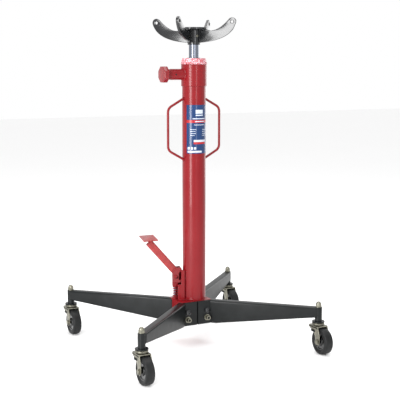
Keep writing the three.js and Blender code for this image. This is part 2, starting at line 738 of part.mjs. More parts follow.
function releaseKnob() {
  const inner = VALVE_BODY_END + KNOB_STANDOFF;
  const outer = inner + KNOB_THICKNESS;
  const radius = KNOB_DIAMETER / 2;
  const grip = turned([
    [0, inner],
    [radius - KNOB_EDGE, inner],
    [radius, inner + KNOB_EDGE],
    [radius, outer - KNOB_EDGE],
    [radius - KNOB_EDGE, outer],
    [0, outer],
  ], 8);
  const spindle = rod(VALVE_SPINDLE_DIAMETER / 2, COLUMN_RADIUS + 1, inner + 1);
  return alongX(join(grip.rotateZ(Math.PI / 8), spindle));
}

// ---------------------------------------------------------------- foot pump, drawn outward along +X

// A tall post with a low wall on each side of the plunger. A slot from end to end takes the lever's cheeks.
function fulcrumBracket() {
  const foot = BLOCK_TOP + GAP;
  const top = BLOCK_TOP + BRACKET_TOP;
  const floor = BLOCK_TOP + BRACKET_FLOOR;
  const over = BRACKET_REACH + OVERCUT;
  const near = block(POST_INNER, POST_OUTER, 0, BRACKET_HALF, foot, top);
  const far = block(POST_INNER, POST_OUTER, -BRACKET_HALF, OVERCUT, foot, BLOCK_TOP + BRACKET_FAR_TOP);
  const shelf = BLOCK_TOP + BRACKET_SHELF;
  const under = foot - OVERCUT;
  const walls = block(POST_INNER, BRACKET_REACH, -BRACKET_HALF, BRACKET_HALF, foot, shelf);
  const slot = block(POST_INNER - OVERCUT, over, -SLOT_HALF, SLOT_HALF, floor, top + OVERCUT);
  const columnSpace = hole(COLUMN_RADIUS + GAP, under, top + OVERCUT, ROUND);
  const pinHole = hole(FULCRUM_PIN_DIAMETER / 2 + GAP, -BRACKET_HALF - OVERCUT, BRACKET_HALF + OVERCUT);
  // Between the walls, the plunger's head and spring have free way down to the barrel.
  const headWay = block(
    PLUNGER_REACH - HEAD_LENGTH / 2 - HEAD_CLEARANCE, over, -SLOT_HALF, SLOT_HALF,
    under, floor + OVERCUT,
  );
  const barrelSpace = hole(BARREL_COLLAR_DIAMETER / 2 + HEAD_CLEARANCE, under, floor + OVERCUT);
  return cut(
    join(near, far, walls),
    slot,
    columnSpace,
    alongY(pinHole).translate(FULCRUM_REACH, 0, BLOCK_TOP + FULCRUM_HEIGHT),
    headWay,
    barrelSpace.translate(PLUNGER_REACH, 0, 0),
  );
}

function pumpBarrel() {
  const inner = PLUNGER_DIAMETER / 2 + PLAY;
  return turned([
    [inner, BLOCK_TOP - BARREL_DEPTH],
    [BARREL_DIAMETER / 2, BLOCK_TOP - BARREL_DEPTH],
    [BARREL_DIAMETER / 2, BLOCK_TOP + GAP],
    [BARREL_COLLAR_DIAMETER / 2, BLOCK_TOP + GAP],
    [BARREL_COLLAR_DIAMETER / 2, BLOCK_TOP + BARREL_COLLAR],
    [inner, BLOCK_TOP + BARREL_COLLAR],
  ], 24).translate(PLUNGER_REACH, 0, 0);
}

function pumpPlunger() {
  const low = BLOCK_TOP - BARREL_DEPTH + 22;
  return rod(PLUNGER_DIAMETER / 2, low, BLOCK_TOP + HEAD_FOOT + HEAD_SOCKET - GAP).translate(PLUNGER_REACH, 0, 0);
}

function plungerHead() {
  const foot = BLOCK_TOP + HEAD_FOOT;
  const pin = BLOCK_TOP + PLUNGER_PIN_HEIGHT;
  const radius = HEAD_LENGTH / 2;
  const outline = new THREE.Shape();
  outline.moveTo(PLUNGER_REACH - radius, foot);
  outline.lineTo(PLUNGER_REACH + radius, foot);
  outline.lineTo(PLUNGER_REACH + radius, pin);
  outline.absarc(PLUNGER_REACH, pin, radius, 0, Math.PI, false);
  outline.holes.push(circleAt(PLUNGER_REACH, pin, PIN_DIAMETER / 2 + GAP));
  const socket = hole(PLUNGER_DIAMETER / 2 + GAP, foot - 1, foot + HEAD_SOCKET);
  return cut(slab(outline, HEAD_WIDTH), socket.translate(PLUNGER_REACH, 0, 0));
}

function plungerSpring() {
  const foot = BLOCK_TOP + BARREL_COLLAR + GAP + SPRING_WIRE / 2;
  const height = HEAD_FOOT - BARREL_COLLAR - 2 * GAP - SPRING_WIRE;
  const radius = (SPRING_DIAMETER - SPRING_WIRE) / 2;
  class Helix extends THREE.Curve {
    getPoint(t, target = new THREE.Vector3()) {
      const angle = 2 * Math.PI * SPRING_TURNS * t;
      return target.set(radius * Math.cos(angle), radius * Math.sin(angle), foot + height * t);
    }
  }
  const wire = new THREE.Shape().absarc(0, 0, SPRING_WIRE / 2, 0, 2 * Math.PI, false);
  const steps = Math.round(SPRING_TURNS * 12);
  const coil = new THREE.ExtrudeGeometry(wire, { steps, curveSegments: 3, extrudePath: new Helix() });
  return coil.translate(PLUNGER_REACH, 0, 0);
}

// A pin across the pump's plane, with a head at each end.
function headedPin(reach, level, diameter, halfLength) {
  const radius = diameter / 2;
  const head = radius + PIN_HEAD;
  const end = halfLength + PIN_HEAD;
  const pin = turned([
    [0, -end],
    [head, -end],
    [head, -halfLength],
    [radius, -halfLength],
    [radius, halfLength],
    [head, halfLength],
    [head, end],
    [0, end],
  ], SMALL_ROUND);
  return alongY(pin).translate(reach, 0, level);
}

function fulcrumPin() {
  const half = BRACKET_HALF - FULCRUM_PIN_SUNK;
  const pin = rod(FULCRUM_PIN_DIAMETER / 2, -half, half);
  return alongY(pin).translate(FULCRUM_REACH, 0, BLOCK_TOP + FULCRUM_HEIGHT);
}

// The lever: a square tube with two cheeks welded to its sides. The cheeks hold the fulcrum pin, and a slot
// that lets the plunger's pin run straight up and down while the lever swings.
const LEVER_SLOPE = degrees(LEVER_ANGLE);
const LEVER_OUT = new THREE.Vector2(Math.cos(LEVER_SLOPE), Math.sin(LEVER_SLOPE));
const LEVER_UP = new THREE.Vector2(-Math.sin(LEVER_SLOPE), Math.cos(LEVER_SLOPE));
const LEVER_START = new THREE.Vector2(PLUNGER_REACH, BLOCK_TOP + PLUNGER_PIN_HEIGHT + LEVER_HEEL_RISE);

function onLever(out, up) {
  const place = LEVER_START.clone().addScaledVector(LEVER_OUT, out).addScaledVector(LEVER_UP, up);
  return [place.x, place.y];
}

function pedalLever() {
  const half = LEVER_HEIGHT / 2;
  const fulcrum = new THREE.Vector2(FULCRUM_REACH, BLOCK_TOP + FULCRUM_HEIGHT);
  const pin = new THREE.Vector2(PLUNGER_REACH, BLOCK_TOP + PLUNGER_PIN_HEIGHT);
  const bar = slab(
    outlineOf([onLever(10, -half), onLever(LEVER_LENGTH, -half), onLever(LEVER_LENGTH, half), onLever(-4, half)]),
    LEVER_WIDTH,
    LEVER_EDGE,
  );
  const bore = slab(
    outlineOf([
      onLever(-30, -half + LEVER_WALL),
      onLever(LEVER_LENGTH + 10, -half + LEVER_WALL),
      onLever(LEVER_LENGTH + 10, half - LEVER_WALL),
      onLever(-30, half - LEVER_WALL),
    ]),
    LEVER_WIDTH - 2 * LEVER_WALL,
  );
  const headSpace = slab(
    outlineOf([
      [PLUNGER_REACH - 40, pin.y - 30],
      [PLUNGER_REACH + 40, pin.y - 30],
      [PLUNGER_REACH + 40, pin.y + HEAD_LENGTH / 2 + 2],
      [PLUNGER_REACH - 40, pin.y + HEAD_LENGTH / 2 + 2],
    ]),
    LEVER_WIDTH + 1,
  );
  const tubeBody = cut(bar, bore, headSpace);

  const cheekOutline = new THREE.Shape();
  cheekOutline.moveTo(...onLever(CHEEK_LAP, -half + 1));
  cheekOutline.lineTo(...onLever(CHEEK_LAP, half - 2));
  cheekOutline.absarc(fulcrum.x + 8.5, fulcrum.y + 41.5, 7.5, degrees(60), degrees(180), false);
  cheekOutline.lineTo(fulcrum.x + 3, pin.y + 16);
  cheekOutline.lineTo(pin.x - 12, pin.y + 14);
  cheekOutline.lineTo(pin.x - 12, pin.y - 14);
  cheekOutline.lineTo(fulcrum.x + 3, fulcrum.y + CHEEK_BOSS - 1);
  cheekOutline.absarc(fulcrum.x, fulcrum.y, CHEEK_BOSS, degrees(60), degrees(290), false);
  cheekOutline.lineTo(pin.x - 4, pin.y - 23);
  cheekOutline.quadraticCurveTo(pin.x + 8, pin.y - 22, pin.x + 9, pin.y - 4);
  cheekOutline.lineTo(...onLever(-2, -half));
  cheekOutline.holes.push(circleAt(fulcrum.x, fulcrum.y, FULCRUM_PIN_DIAMETER / 2 + GAP));
  const slotWay = pin.clone().sub(fulcrum);
  const slotLength = slotWay.length();
  const slotShape = new THREE.Shape();
  const slotRadius = PIN_DIAMETER / 2 + SLOT_PLAY;
  slotShape.absarc(slotLength, 0, slotRadius, -Math.PI / 2, Math.PI / 2, false);
  slotShape.absarc(PLUNGER_REACH - FULCRUM_REACH, 0, slotRadius, Math.PI / 2, 1.5 * Math.PI, false);
  const slotCutter = slab(slotShape, 2 * SLOT_HALF)
    .rotateY(-slotWay.angle())
    .translate(fulcrum.x, 0, fulcrum.y);
  const cheeks = [-1, 1].map((side) =>
    slab(cheekOutline, CHEEK_THICKNESS + 0.6).translate(0, side * (CHEEK_INNER + CHEEK_THICKNESS / 2 - 0.3), 0),
  );
  return cut(join(tubeBody, ...cheeks), slotCutter);
}

const PEDAL_AT = onLever(LEVER_LENGTH, LEVER_HEIGHT / 2);

function pedalPlate() {
  const plate = slab(
    outlineOf([
      [-PEDAL_WIDTH / 2, 0],
      [PEDAL_WIDTH / 2, 0],
      [PEDAL_WIDTH / 2, PEDAL_THICKNESS],
      [-PEDAL_WIDTH / 2, PEDAL_THICKNESS],
    ]),
    PEDAL_LENGTH,
  );
  plate.rotateY(degrees(PEDAL_TILT)).rotateZ(degrees(PEDAL_TWIST));
  plate.translate(PEDAL_AT[0] + PEDAL_OVERHANG, 0, PEDAL_AT[1] + PEDAL_RISE);
  const rib = slab(
    outlineOf([
      [PEDAL_AT[0] - 4, PEDAL_AT[1] + GAP + 0.4],
      [PEDAL_AT[0] + 12, PEDAL_AT[1] - 12],
      [PEDAL_AT[0] + 14, PEDAL_AT[1] + PEDAL_RISE + 1],
      [PEDAL_AT[0] - 6, PEDAL_AT[1] + PEDAL_RISE + 1],
    ]),
    LEVER_WIDTH - 8,
  );
  const leverSpace = slab(
    outlineOf([
      onLever(100, -LEVER_HEIGHT / 2),
      onLever(LEVER_LENGTH + GAP, -LEVER_HEIGHT / 2),
      onLever(LEVER_LENGTH + GAP, LEVER_HEIGHT / 2 + GAP),
      onLever(100, LEVER_HEIGHT / 2 + GAP),
    ]),
    LEVER_WIDTH + 2,
  );
  return cut(join(plate, rib), leverSpace);
}

// ---------------------------------------------------------------- assembly

const jack = new THREE.Group();
const base = new THREE.Group();
base.position.y = CENTRE_SHIFT;
jack.add(base);

base.add(piece("base_block", pumpBlock(), "redPaint"));

const corners = [
  { name: "front_left", side: -1, face: -1 },
  { name: "front_right", side: 1, face: -1 },
  { name: "rear_left", side: -1, face: 1 },
  { name: "rear_right", side: 1, face: 1 },
];
for (const { name, side, face } of corners) {
  const legMesh = piece("leg_" + name, leg(), "blackPaint");
  legMesh.scale.set(-side, -face, 1);
  base.add(legMesh);

  const screws = {
    upper: ["blackPaint", UPPER_HEAD_DIAMETER, UPPER_HEAD],
    lower: ["zinc", LOWER_HEAD_DIAMETER, LOWER_HEAD],
  };
  for (const [row, [finish, diameter, height]] of Object.entries(screws)) {
    const screw = flangeScrew(diameter, height, row === "lower");
    if (face > 0) alongY(screw);
    else screw.rotateX(Math.PI / 2);
    const mesh = piece("flange_screw_" + row + "_" + name, screw, finish);
    mesh.position.set(side * SCREW_X, face * (BLOCK_DEPTH / 2 + GAP + FLANGE_THICKNESS), SCREW_LEVELS[row]);
    base.add(mesh);
  }

  const caster = new THREE.Group();
  caster.position.set((side * STEM_SPACING_X) / 2, (face * STEM_SPACING_Y) / 2, 0);
  caster.add(
    piece("caster_nut_" + name, acornNut(), "zinc"),
    piece("caster_stem_" + name, casterStem(), "zinc"),
    piece("caster_fork_" + name, casterFork(), "zinc"),
    piece("caster_axle_" + name, casterAxle(), "zinc"),
    piece("caster_wheel_" + name, casterWheel(), "rubber"),
  );
  base.add(caster);
}

const column = new THREE.Group();
column.position.x = COLUMN_OFFSET;
base.add(column);
column.add(
  piece("column_tube", columnTube(), "redPaint"),
  piece("column_collar", collar(), "redPaint"),
  piece("gland_ring", glandRing(), "redPaint"),
  piece("wiper_seal", wiperSeal(), "rubber"),
  piece("cylinder_tube", cylinderTube(), "steel"),
  piece("ram_piston", ramPiston(), "steel"),
  piece("ram", ram(), "chrome"),
  piece("saddle_socket", saddleSocket(), "saddleBlack"),
  piece("saddle_disc", saddleDisc(), "saddleBlack"),
  piece("saddle_set_screw", setScrew(), "zinc"),
  piece("side_handle_right", sideHandle(), "redPaint"),
);
for (const [name, angle] of Object.entries(ARM_ANGLES)) {
  const arm = piece("saddle_arm_" + name, saddleArm(), "saddleBlack");
  arm.rotation.z = degrees(angle + SADDLE_TURN);
  column.add(arm);
}
const leftHandle = piece("side_handle_left", sideHandle(), "redPaint");
leftHandle.rotation.z = Math.PI;
column.add(leftHandle);

const valve = new THREE.Group();
valve.position.z = VALVE_LEVEL;
valve.rotation.z = Math.PI;
valve.add(piece("release_valve_body", valveBody(), "redPaint"), piece("release_knob", releaseKnob(), "redPaint"));
column.add(valve);

const pump = new THREE.Group();
pump.rotation.z = PUMP_DIRECTION;
column.add(pump);
const pumpPinHalf = CHEEK_INNER + CHEEK_THICKNESS + PLAY;
pump.add(
  piece("fulcrum_bracket", fulcrumBracket(), "redPaint"),
  piece("pump_barrel", pumpBarrel(), "redPaint"),
  piece("pump_plunger", pumpPlunger(), "chrome"),
  piece("plunger_head", plungerHead(), "redPaint"),
  piece("plunger_spring", plungerSpring(), "redPaint"),
  piece("pedal_lever", pedalLever(), "redPaint"),
  piece("pedal_plate", pedalPlate(), "redPaint"),
  piece(
    "plunger_pin",
    headedPin(PLUNGER_REACH, BLOCK_TOP + PLUNGER_PIN_HEIGHT, PIN_DIAMETER, pumpPinHalf),
    "redPaint",
  ),
  piece("fulcrum_pin", fulcrumPin(), "redPaint"),
);

export default jack;
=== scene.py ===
"""A vertical hydraulic transmission jack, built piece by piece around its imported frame.

Metres, +Z up. The jack's front, where the label faces, is towards -Y. The foot pump stands on its left.
"""

import math

import bmesh
import bpy
from bpy.props import FloatProperty, FloatVectorProperty, PointerProperty
from mathutils import Matrix, Vector, noise


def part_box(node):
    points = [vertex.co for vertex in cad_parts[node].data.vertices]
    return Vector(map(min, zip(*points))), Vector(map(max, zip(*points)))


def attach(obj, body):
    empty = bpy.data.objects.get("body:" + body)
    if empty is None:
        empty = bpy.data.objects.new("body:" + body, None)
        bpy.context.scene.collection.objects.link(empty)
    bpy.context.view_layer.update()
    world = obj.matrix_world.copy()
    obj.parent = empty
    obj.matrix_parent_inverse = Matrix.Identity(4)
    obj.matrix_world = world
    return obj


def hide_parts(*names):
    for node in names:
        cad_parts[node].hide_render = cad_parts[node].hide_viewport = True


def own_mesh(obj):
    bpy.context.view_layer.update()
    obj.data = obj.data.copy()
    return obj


bl_info = {
    "name": "Transmission Jack",
    "version": (1, 0, 0),
    "blender": (4, 5, 0),
    "location": "View3D > Sidebar > Jack",
    "description": "Builds a vertical hydraulic transmission jack around its frame",
    "category": "Object",
}

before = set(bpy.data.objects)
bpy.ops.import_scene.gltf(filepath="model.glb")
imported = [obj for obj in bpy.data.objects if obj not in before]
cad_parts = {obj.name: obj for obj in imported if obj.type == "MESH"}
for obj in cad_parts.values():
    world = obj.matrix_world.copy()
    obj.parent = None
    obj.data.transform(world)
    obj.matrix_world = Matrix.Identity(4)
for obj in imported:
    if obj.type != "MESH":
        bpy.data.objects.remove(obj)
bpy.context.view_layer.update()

MM = 0.001
FIT = 0.3 * MM  # clearance between neighbouring pieces
CORNERS = {
    "front_left": (-1, -1),
    "front_right": (1, -1),
    "rear_left": (-1, 1),
    "rear_right": (1, 1),
}
ARM_ANGLES = {"front_left": 221, "front_right": 311, "rear_right": 41, "rear_left": 131}


# ------------------------------------------------------------------ places read from the frame


def middle(node):
    low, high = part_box(node)
    return (low + high) / 2


def foot_of(node):
    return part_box(node)[0].z


def top_of(node):
    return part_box(node)[1].z


def span(node):
    low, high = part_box(node)
    return high - low


COLUMN_AXIS = middle("column_tube").to_2d()
COLUMN_RADIUS = span("column_tube").x / 2
BLOCK_TOP = top_of("base_block")
LEG_TOP = top_of("leg_front_left")
PLUNGER_OFFSET = middle("pump_plunger").to_2d() - COLUMN_AXIS
PUMP_ANGLE = math.atan2(PLUNGER_OFFSET.y, PLUNGER_OFFSET.x)
PLUNGER_REACH = PLUNGER_OFFSET.length

ON_COLUMN = Matrix.Translation(COLUMN_AXIS.to_3d())
ON_PUMP = ON_COLUMN @ Matrix.Translation((0, 0, BLOCK_TOP)) @ Matrix.Rotation(PUMP_ANGLE, 4, "Z")
ALONG_X = Matrix.Rotation(math.pi / 2, 4, "Y")
ALONG_Y = Matrix.Rotation(-math.pi / 2, 4, "X")


# ------------------------------------------------------------------ sizes and colours


def distance(label, text, default):
    return FloatProperty(
        name=label, description=text, default=default, min=0.0, unit="LENGTH", subtype="DISTANCE", precision=4
    )


def angle(label, text, default):
    return FloatProperty(
        name=label, description=text, default=math.radians(default), unit="ROTATION", subtype="ANGLE"
    )


def colour(label, text, red, green, blue):
    return FloatVectorProperty(
        name=label,
        description=text,
        default=(red / 255, green / 255, blue / 255),
        min=0.0,
        max=1.0,
        size=3,
        subtype="COLOR_GAMMA",
    )


class JackColours(bpy.types.PropertyGroup):
    enamel: colour("Enamel", "Red enamel of the column, block and pump", 119, 8, 17)
    # Painted highlight: this pale pink stands for the light on the glossy gland ring, along with enamel rubbed
    # thin over its weld.
    highlight_and_rubbed_enamel: colour("Rubbed enamel", "Enamel rubbed thin over the gland's weld", 184, 92, 100)
    pedal_enamel: colour("Pedal enamel", "Duller red of the lever and pedal, scuffed by boots", 140, 38, 38)
    leg_coat: colour("Leg coat", "Satin dark grey coat of the legs", 5, 9, 10)
    saddle_enamel: colour("Saddle enamel", "Glossy black of the saddle", 9, 11, 14)
    chrome: colour("Chrome", "Hard chrome of the ram and plunger", 120, 125, 136)
    zinc: colour("Zinc", "Dull zinc plate of casters and screws", 128, 126, 114)
    oiled_steel: colour("Oiled steel", "Machined steel inside the column", 140, 142, 146)
    tread: colour("Tread", "Hard black rubber of the wheels", 7, 9, 10)
    seal: colour("Seal", "Black rubber of the wiper seal", 12, 12, 13)
    label: colour("Label", "Ground of the column's label", 8, 46, 92)
    label_marks: colour("Label marks", "Plain bars and blocks on the label", 186, 194, 205)
    label_stripe: colour("Label stripe", "Stripe across the label", 160, 8, 16)


class JackColumnSizes(bpy.types.PropertyGroup):
    collar_radius: distance(
        "Collar radius", "Of the thick collar at the column's top", span("column_collar").x / 2
    )
    collar_ease: distance("Collar rounding", "On the collar's two edges", 2.5 * MM)
    gland_ease: distance("Gland rounding", "On the gland ring's top edge", 5 * MM)
    weld: distance("Weld", "Radius of the weld beads", 1.6 * MM)


class JackLabelSizes(bpy.types.PropertyGroup):
    foot: distance("Label foot", "Height of the label's lower edge", 0.684)
    top: distance("Label top", "Height of the label's upper edge", 0.853)
    half_turn: angle("Label half turn", "How far the label wraps to each side of the front", 66)
    thickness: distance("Label thickness", "Of the printed film", 0.15 * MM)


class JackSaddleSizes(bpy.types.PropertyGroup):
    arm_thickness: distance("Arm thickness", "Of the saddle's plate arms", 8 * MM)
    arm_reach: distance("Arm reach", "From the axis to the hole in an arm's tip", 140 * MM)
    arm_rise: distance("Arm rise", "From the socket's foot to the hole", 76.5 * MM)
    tip_radius: distance("Tip radius", "Of the round end of an arm", 14.5 * MM)
    hole_radius: distance("Hole radius", "Of the hole in an arm's tip", 5.25 * MM)
    arm_ease: distance("Arm rounding", "On the arms' edges", 1.1 * MM)


class JackHandleSizes(bpy.types.PropertyGroup):
    rod_radius: distance("Rod radius", "Of the bent side handles", 4.25 * MM)
    reach: distance("Handle reach", "From the column's axis to the rod", 101 * MM)
    slope: angle("Handle slope", "Of the rod's two slanted ends", 29)
    bend: distance("Handle bend", "Radius of the rod's two bends", 26 * MM)


class JackPumpSizes(bpy.types.PropertyGroup):
    post_outer: distance("Post outer face", "From the column's axis", 50 * MM)
    half_width: distance("Bracket half width", "From the pump's plane to the bracket's side", 25.8 * MM)
    ear: distance("Ear thickness", "Of the bracket's two sides", 9 * MM)
    post_top: distance("Post top", "Of the near half, above the block", 107 * MM)
    far_top: distance("Far post top", "Of the far half, above the block", 80 * MM)
    wall_reach: distance("Wall reach", "Of the low side walls, from the column's axis", 62.5 * MM)
    wall_top: distance("Wall top", "Of the low side walls, above the block", 54 * MM)
    slot_floor: distance("Slot floor", "Of the slot that the lever swings in", 40 * MM)
    fulcrum_reach: distance("Fulcrum reach", "From the column's axis to the fulcrum pin", 45.5 * MM)
    fulcrum_height: distance("Fulcrum height", "Above the block", 66 * MM)
    pin_height: distance("Plunger pin height", "Above the block", 83 * MM)
    spring_radius: distance("Spring radius", "To the middle of the wire", 8.3 * MM)
    spring_wire: distance("Spring wire", "Radius of the spring's wire", 1.7 * MM)


class JackPedalSizes(bpy.types.PropertyGroup):
    lever_slope: angle("Lever slope", "Above level, released", 49)
    lever_length: distance("Lever length", "Of the square tube", 142 * MM)
    lever_height: distance("Lever height", "Of the tube's section", 26 * MM)
    lever_width: distance("Lever width", "Of the tube's section", 22 * MM)
    wall: distance("Lever wall", "Thickness of the tube's steel", 2.5 * MM)
    heel_rise: distance("Heel rise", "From the plunger pin to the tube's centre line", 16.5 * MM)
    cheek: distance("Cheek thickness", "Of the two plates that hold the pins", 4 * MM)
    plate_length: distance("Plate length", "Across the lever", 106 * MM)
    plate_width: distance("Plate width", "Along the lever", 51 * MM)
    plate_thickness: distance("Plate thickness", "Of the pedal's steel", 4 * MM)


class JackLegSizes(bpy.types.PropertyGroup):
    width: distance("Leg width", "Across a leg", 31 * MM)
    root_depth: distance("Root depth", "Of a leg at the block", 84 * MM)
    tip_depth: distance("Tip depth", "Of a leg at its caster", 35 * MM)
    ease: distance("Leg rounding", "Of a leg's long edges", 7 * MM)
    flange_length: distance("Flange length", "Along the block's face", 56 * MM)
    flange_thickness: distance("Flange thickness", "Of the bolted plate", 8 * MM)
    post_radius: distance("Post radius", "Of the round post over a caster", 12.5 * MM)
    weld: distance("Weld", "Radius of the weld beads", 2.0 * MM)


class JackCasterSizes(bpy.types.PropertyGroup):
    wheel_radius: distance("Wheel radius", "Of the tread", span("caster_wheel_front_left").z / 2)
    wheel_width: distance("Wheel width", "Across the tread", 33 * MM)
    tread_ease: distance("Tread rounding", "Of the tread's shoulders", 7 * MM)
    hub_radius: distance("Hub radius", "Of the raised hub", 15 * MM)
    fork_steel: distance("Fork steel", "Thickness of the pressed fork", 3.4 * MM)
    nut_across: distance("Nut width", "Across the acorn nut's flats", 19 * MM)


# ------------------------------------------------------------------ outlines


def eased(outline, radius=0.0, closed=True, steps=4):
    """The outline with its corners rounded. A corner may carry a radius of its own as a third number."""
    corners = [(Vector(point[:2]), point[2] if len(point) > 2 else radius) for point in outline]
    rounded = []
    for index, (corner, ease) in enumerate(corners):
        loose_end = not closed and index in (0, len(corners) - 1)
        if loose_end or ease <= 0:
            rounded.append(tuple(corner))
            continue
        back = corners[index - 1][0] - corner
        ahead = corners[(index + 1) % len(corners)][0] - corner
        room = min(back.length, ahead.length) * 0.49
        reach = min(ease / math.tan(back.angle(ahead) / 2), room)
        start = corner + back.normalized() * reach
        end = corner + ahead.normalized() * reach
        for step in range(steps + 1):
            t = step / steps
            rounded.append(tuple(start * (1 - t) ** 2 + corner * 2 * t * (1 - t) + end * t * t))
    return rounded


def box_outline(left, low, right, high):
    return [(left, low), (right, low), (right, high), (left, high)]


def arc(x, z, radius, start, end, steps=12):
    turns = [math.radians(start + (end - start) * step / steps) for step in range(steps + 1)]
    return [(x + radius * math.cos(turn), z + radius * math.sin(turn)) for turn in turns]


def circle(x, z, radius, steps=28):
    return arc(x, z, radius, 0, 360, steps)[:-1]


def bezier(start, first, second, end, steps=16):
    points = [Vector(point) for point in (start, first, second, end)]
    curve = []
    for step in range(1, steps + 1):
        t = step / steps
        weights = ((1 - t) ** 3, 3 * t * (1 - t) ** 2, 3 * t * t * (1 - t), t**3)
        curve.append(tuple(sum((point * weight for point, weight in zip(points, weights)), Vector((0, 0)))))
    return curve


# ------------------------------------------------------------------ solids


def turned(profile, segments=96, closed=False):
    """A solid of revolution about Z, from a profile of (radius, height)."""
    shape = bmesh.new()
    rings = []
    for radius, height in profile:
        if radius < 1e-7:
            rings.append([shape.verts.new((0, 0, height))])
            continue
        turns = [2 * math.pi * step / segments for step in range(segments)]
        rings.append([shape.verts.new((radius * math.cos(t), radius * math.sin(t), height)) for t in turns])
    bands = list(zip(rings, rings[1:]))
    if closed:
        bands.append((rings[-1], rings[0]))
    for low, high in bands:
        for here in range(segments):
            after = (here + 1) % segments
            corners = []
            for vertex in (
                low[here % len(low)], low[after % len(low)], high[after % len(high)], high[here % len(high)]
            ):
                if vertex not in corners:
                    corners.append(vertex)
            if len(corners) > 2:
                shape.faces.new(corners)
    bmesh.ops.recalc_face_normals(shape, faces=shape.faces)
    return shape


def lathed(profile, segments=96, closed=False):
    """A solid of revolution whose profile's corners are rounded first. A closed profile leaves a bore."""
    return turned(eased(profile, closed=closed), segments, closed)


def ring(inner, outer, foot, top, ease=0.0, segments=96):
    profile = [(inner, foot), (outer, foot, ease), (outer, top, ease), (inner, top)]
    return lathed(profile, segments, closed=True)


def from_curve(curve):
    holder = bpy.data.objects.new("outline", curve)
    bpy.context.scene.collection.objects.link(holder)
    mesh = bpy.data.meshes.new_from_object(holder.evaluated_get(bpy.context.evaluated_depsgraph_get()))
    shape = bmesh.new()
    shape.from_mesh(mesh)
    bpy.data.objects.remove(holder)
    bpy.data.curves.remove(curve)
    bpy.data.meshes.remove(mesh)
    bmesh.ops.remove_doubles(shape, verts=shape.verts, dist=1e-6)
    bmesh.ops.recalc_face_normals(shape, faces=shape.faces)
    return shape


def slab(loops, width, ease=0.0, steps=2):
    """Outlines in X and Z, the first round the others, made solid across Y and centred on Y = 0."""
    curve = bpy.data.curves.new("outline", "CURVE")
    curve.dimensions = "2D"
    curve.fill_mode = "BOTH"
    curve.extrude = width / 2 - ease
    curve.bevel_depth = ease
    curve.bevel_resolution = steps
    curve.offset = -ease
    for loop in loops:
        spline = curve.splines.new("POLY")
        spline.points.add(len(loop) - 1)
        for point, (x, z) in zip(spline.points, loop):
            point.co = (x, z, 0, 1)
        spline.use_cyclic_u = True
    return moved(from_curve(curve), Matrix.Rotation(math.pi / 2, 4, "X"))


def swept(points, radius, closed=False, ripple=0.0, resolution=3):
    """A round rod along the points. A ripple gives it the scales of a weld bead."""
    curve = bpy.data.curves.new("sweep", "CURVE")
    curve.dimensions = "3D"
    curve.bevel_depth = radius
    curve.bevel_resolution = resolution
    curve.use_fill_caps = not closed
    spline = curve.splines.new("POLY")
    spline.points.add(len(points) - 1)
    for index, (point, place) in enumerate(zip(spline.points, points)):
        point.co = (*place, 1)
        point.radius = 1 + ripple * math.sin(index * 2.1) + ripple * noise.noise(Vector(place) * 140)
    spline.use_cyclic_u = closed
    return from_curve(curve)


def block(low, high):
    shape = bmesh.new()
    bmesh.ops.create_cube(shape, size=1)
    low, high = Vector(low), Vector(high)
    size = high - low
    return moved(shape, Matrix.Translation((low + high) / 2) @ Matrix.Diagonal((*size, 1)))


def prism(sides, across_flats, foot, top, ease=0.0):
    corner = across_flats / 2 / math.cos(math.pi / sides)
    return lathed([(0, foot), (corner, foot, ease), (corner, top, ease), (0, top)], sides)


def moved(shape, matrix):
    bmesh.ops.transform(shape, matrix=matrix, verts=shape.verts)
    if matrix.determinant() < 0:
        bmesh.ops.reverse_faces(shape, faces=shape.faces)
    return shape


def joined(*shapes):
    whole = bmesh.new()
    for shape in shapes:
        mesh = bpy.data.meshes.new("part")
        shape.to_mesh(mesh)
        shape.free()
        whole.from_mesh(mesh)
        bpy.data.meshes.remove(mesh)
    return whole


def trimmed(shape, point, outward):
    """What lies on the inner side of a plane, with the cut closed."""
    geometry = shape.verts[:] + shape.edges[:] + shape.faces[:]
    cut = bmesh.ops.bisect_plane(shape, geom=geometry, plane_co=point, plane_no=outward, clear_outer=True)
    edges = [item for item in cut["geom_cut"] if isinstance(item, bmesh.types.BMEdge)]
    bmesh.ops.holes_fill(shape, edges=edges)
    return shape


def straight(start, end, step=1.2 * MM):
    start, end = Vector(start), Vector(end)
    count = max(2, round((end - start).length / step))
    return [start.lerp(end, index / count) for index in range(count + 1)]


def bead(points, radius, closed=False):
    return swept(points, radius, closed=closed, ripple=0.16, resolution=2)


def round_bead(radius, height, size, count=180):
    turns = [2 * math.pi * step / count for step in range(count)]
    return bead([(radius * math.cos(t), radius * math.sin(t), height) for t in turns], size, closed=True)


# ------------------------------------------------------------------ finishes


COAT_ROUGHNESS = 0.06
RELIEF_DEPTH = 0.3 * MM
DULLNESS_SPREAD = (0.88, 1.15)  # shares of a finish's roughness, at its glossiest and its dullest
TINT_BAND = (0.3, 0.7)  # values of the noise between which the colour varies
PATCH_EDGE = 0.03  # width of a bare patch's edge in the noise


def linear(gamma_colour):
    values = [v / 12.92 if v <= 0.04045 else ((v + 0.055) / 1.055) ** 2.4 for v in gamma_colour]
    return (*values, 1.0)


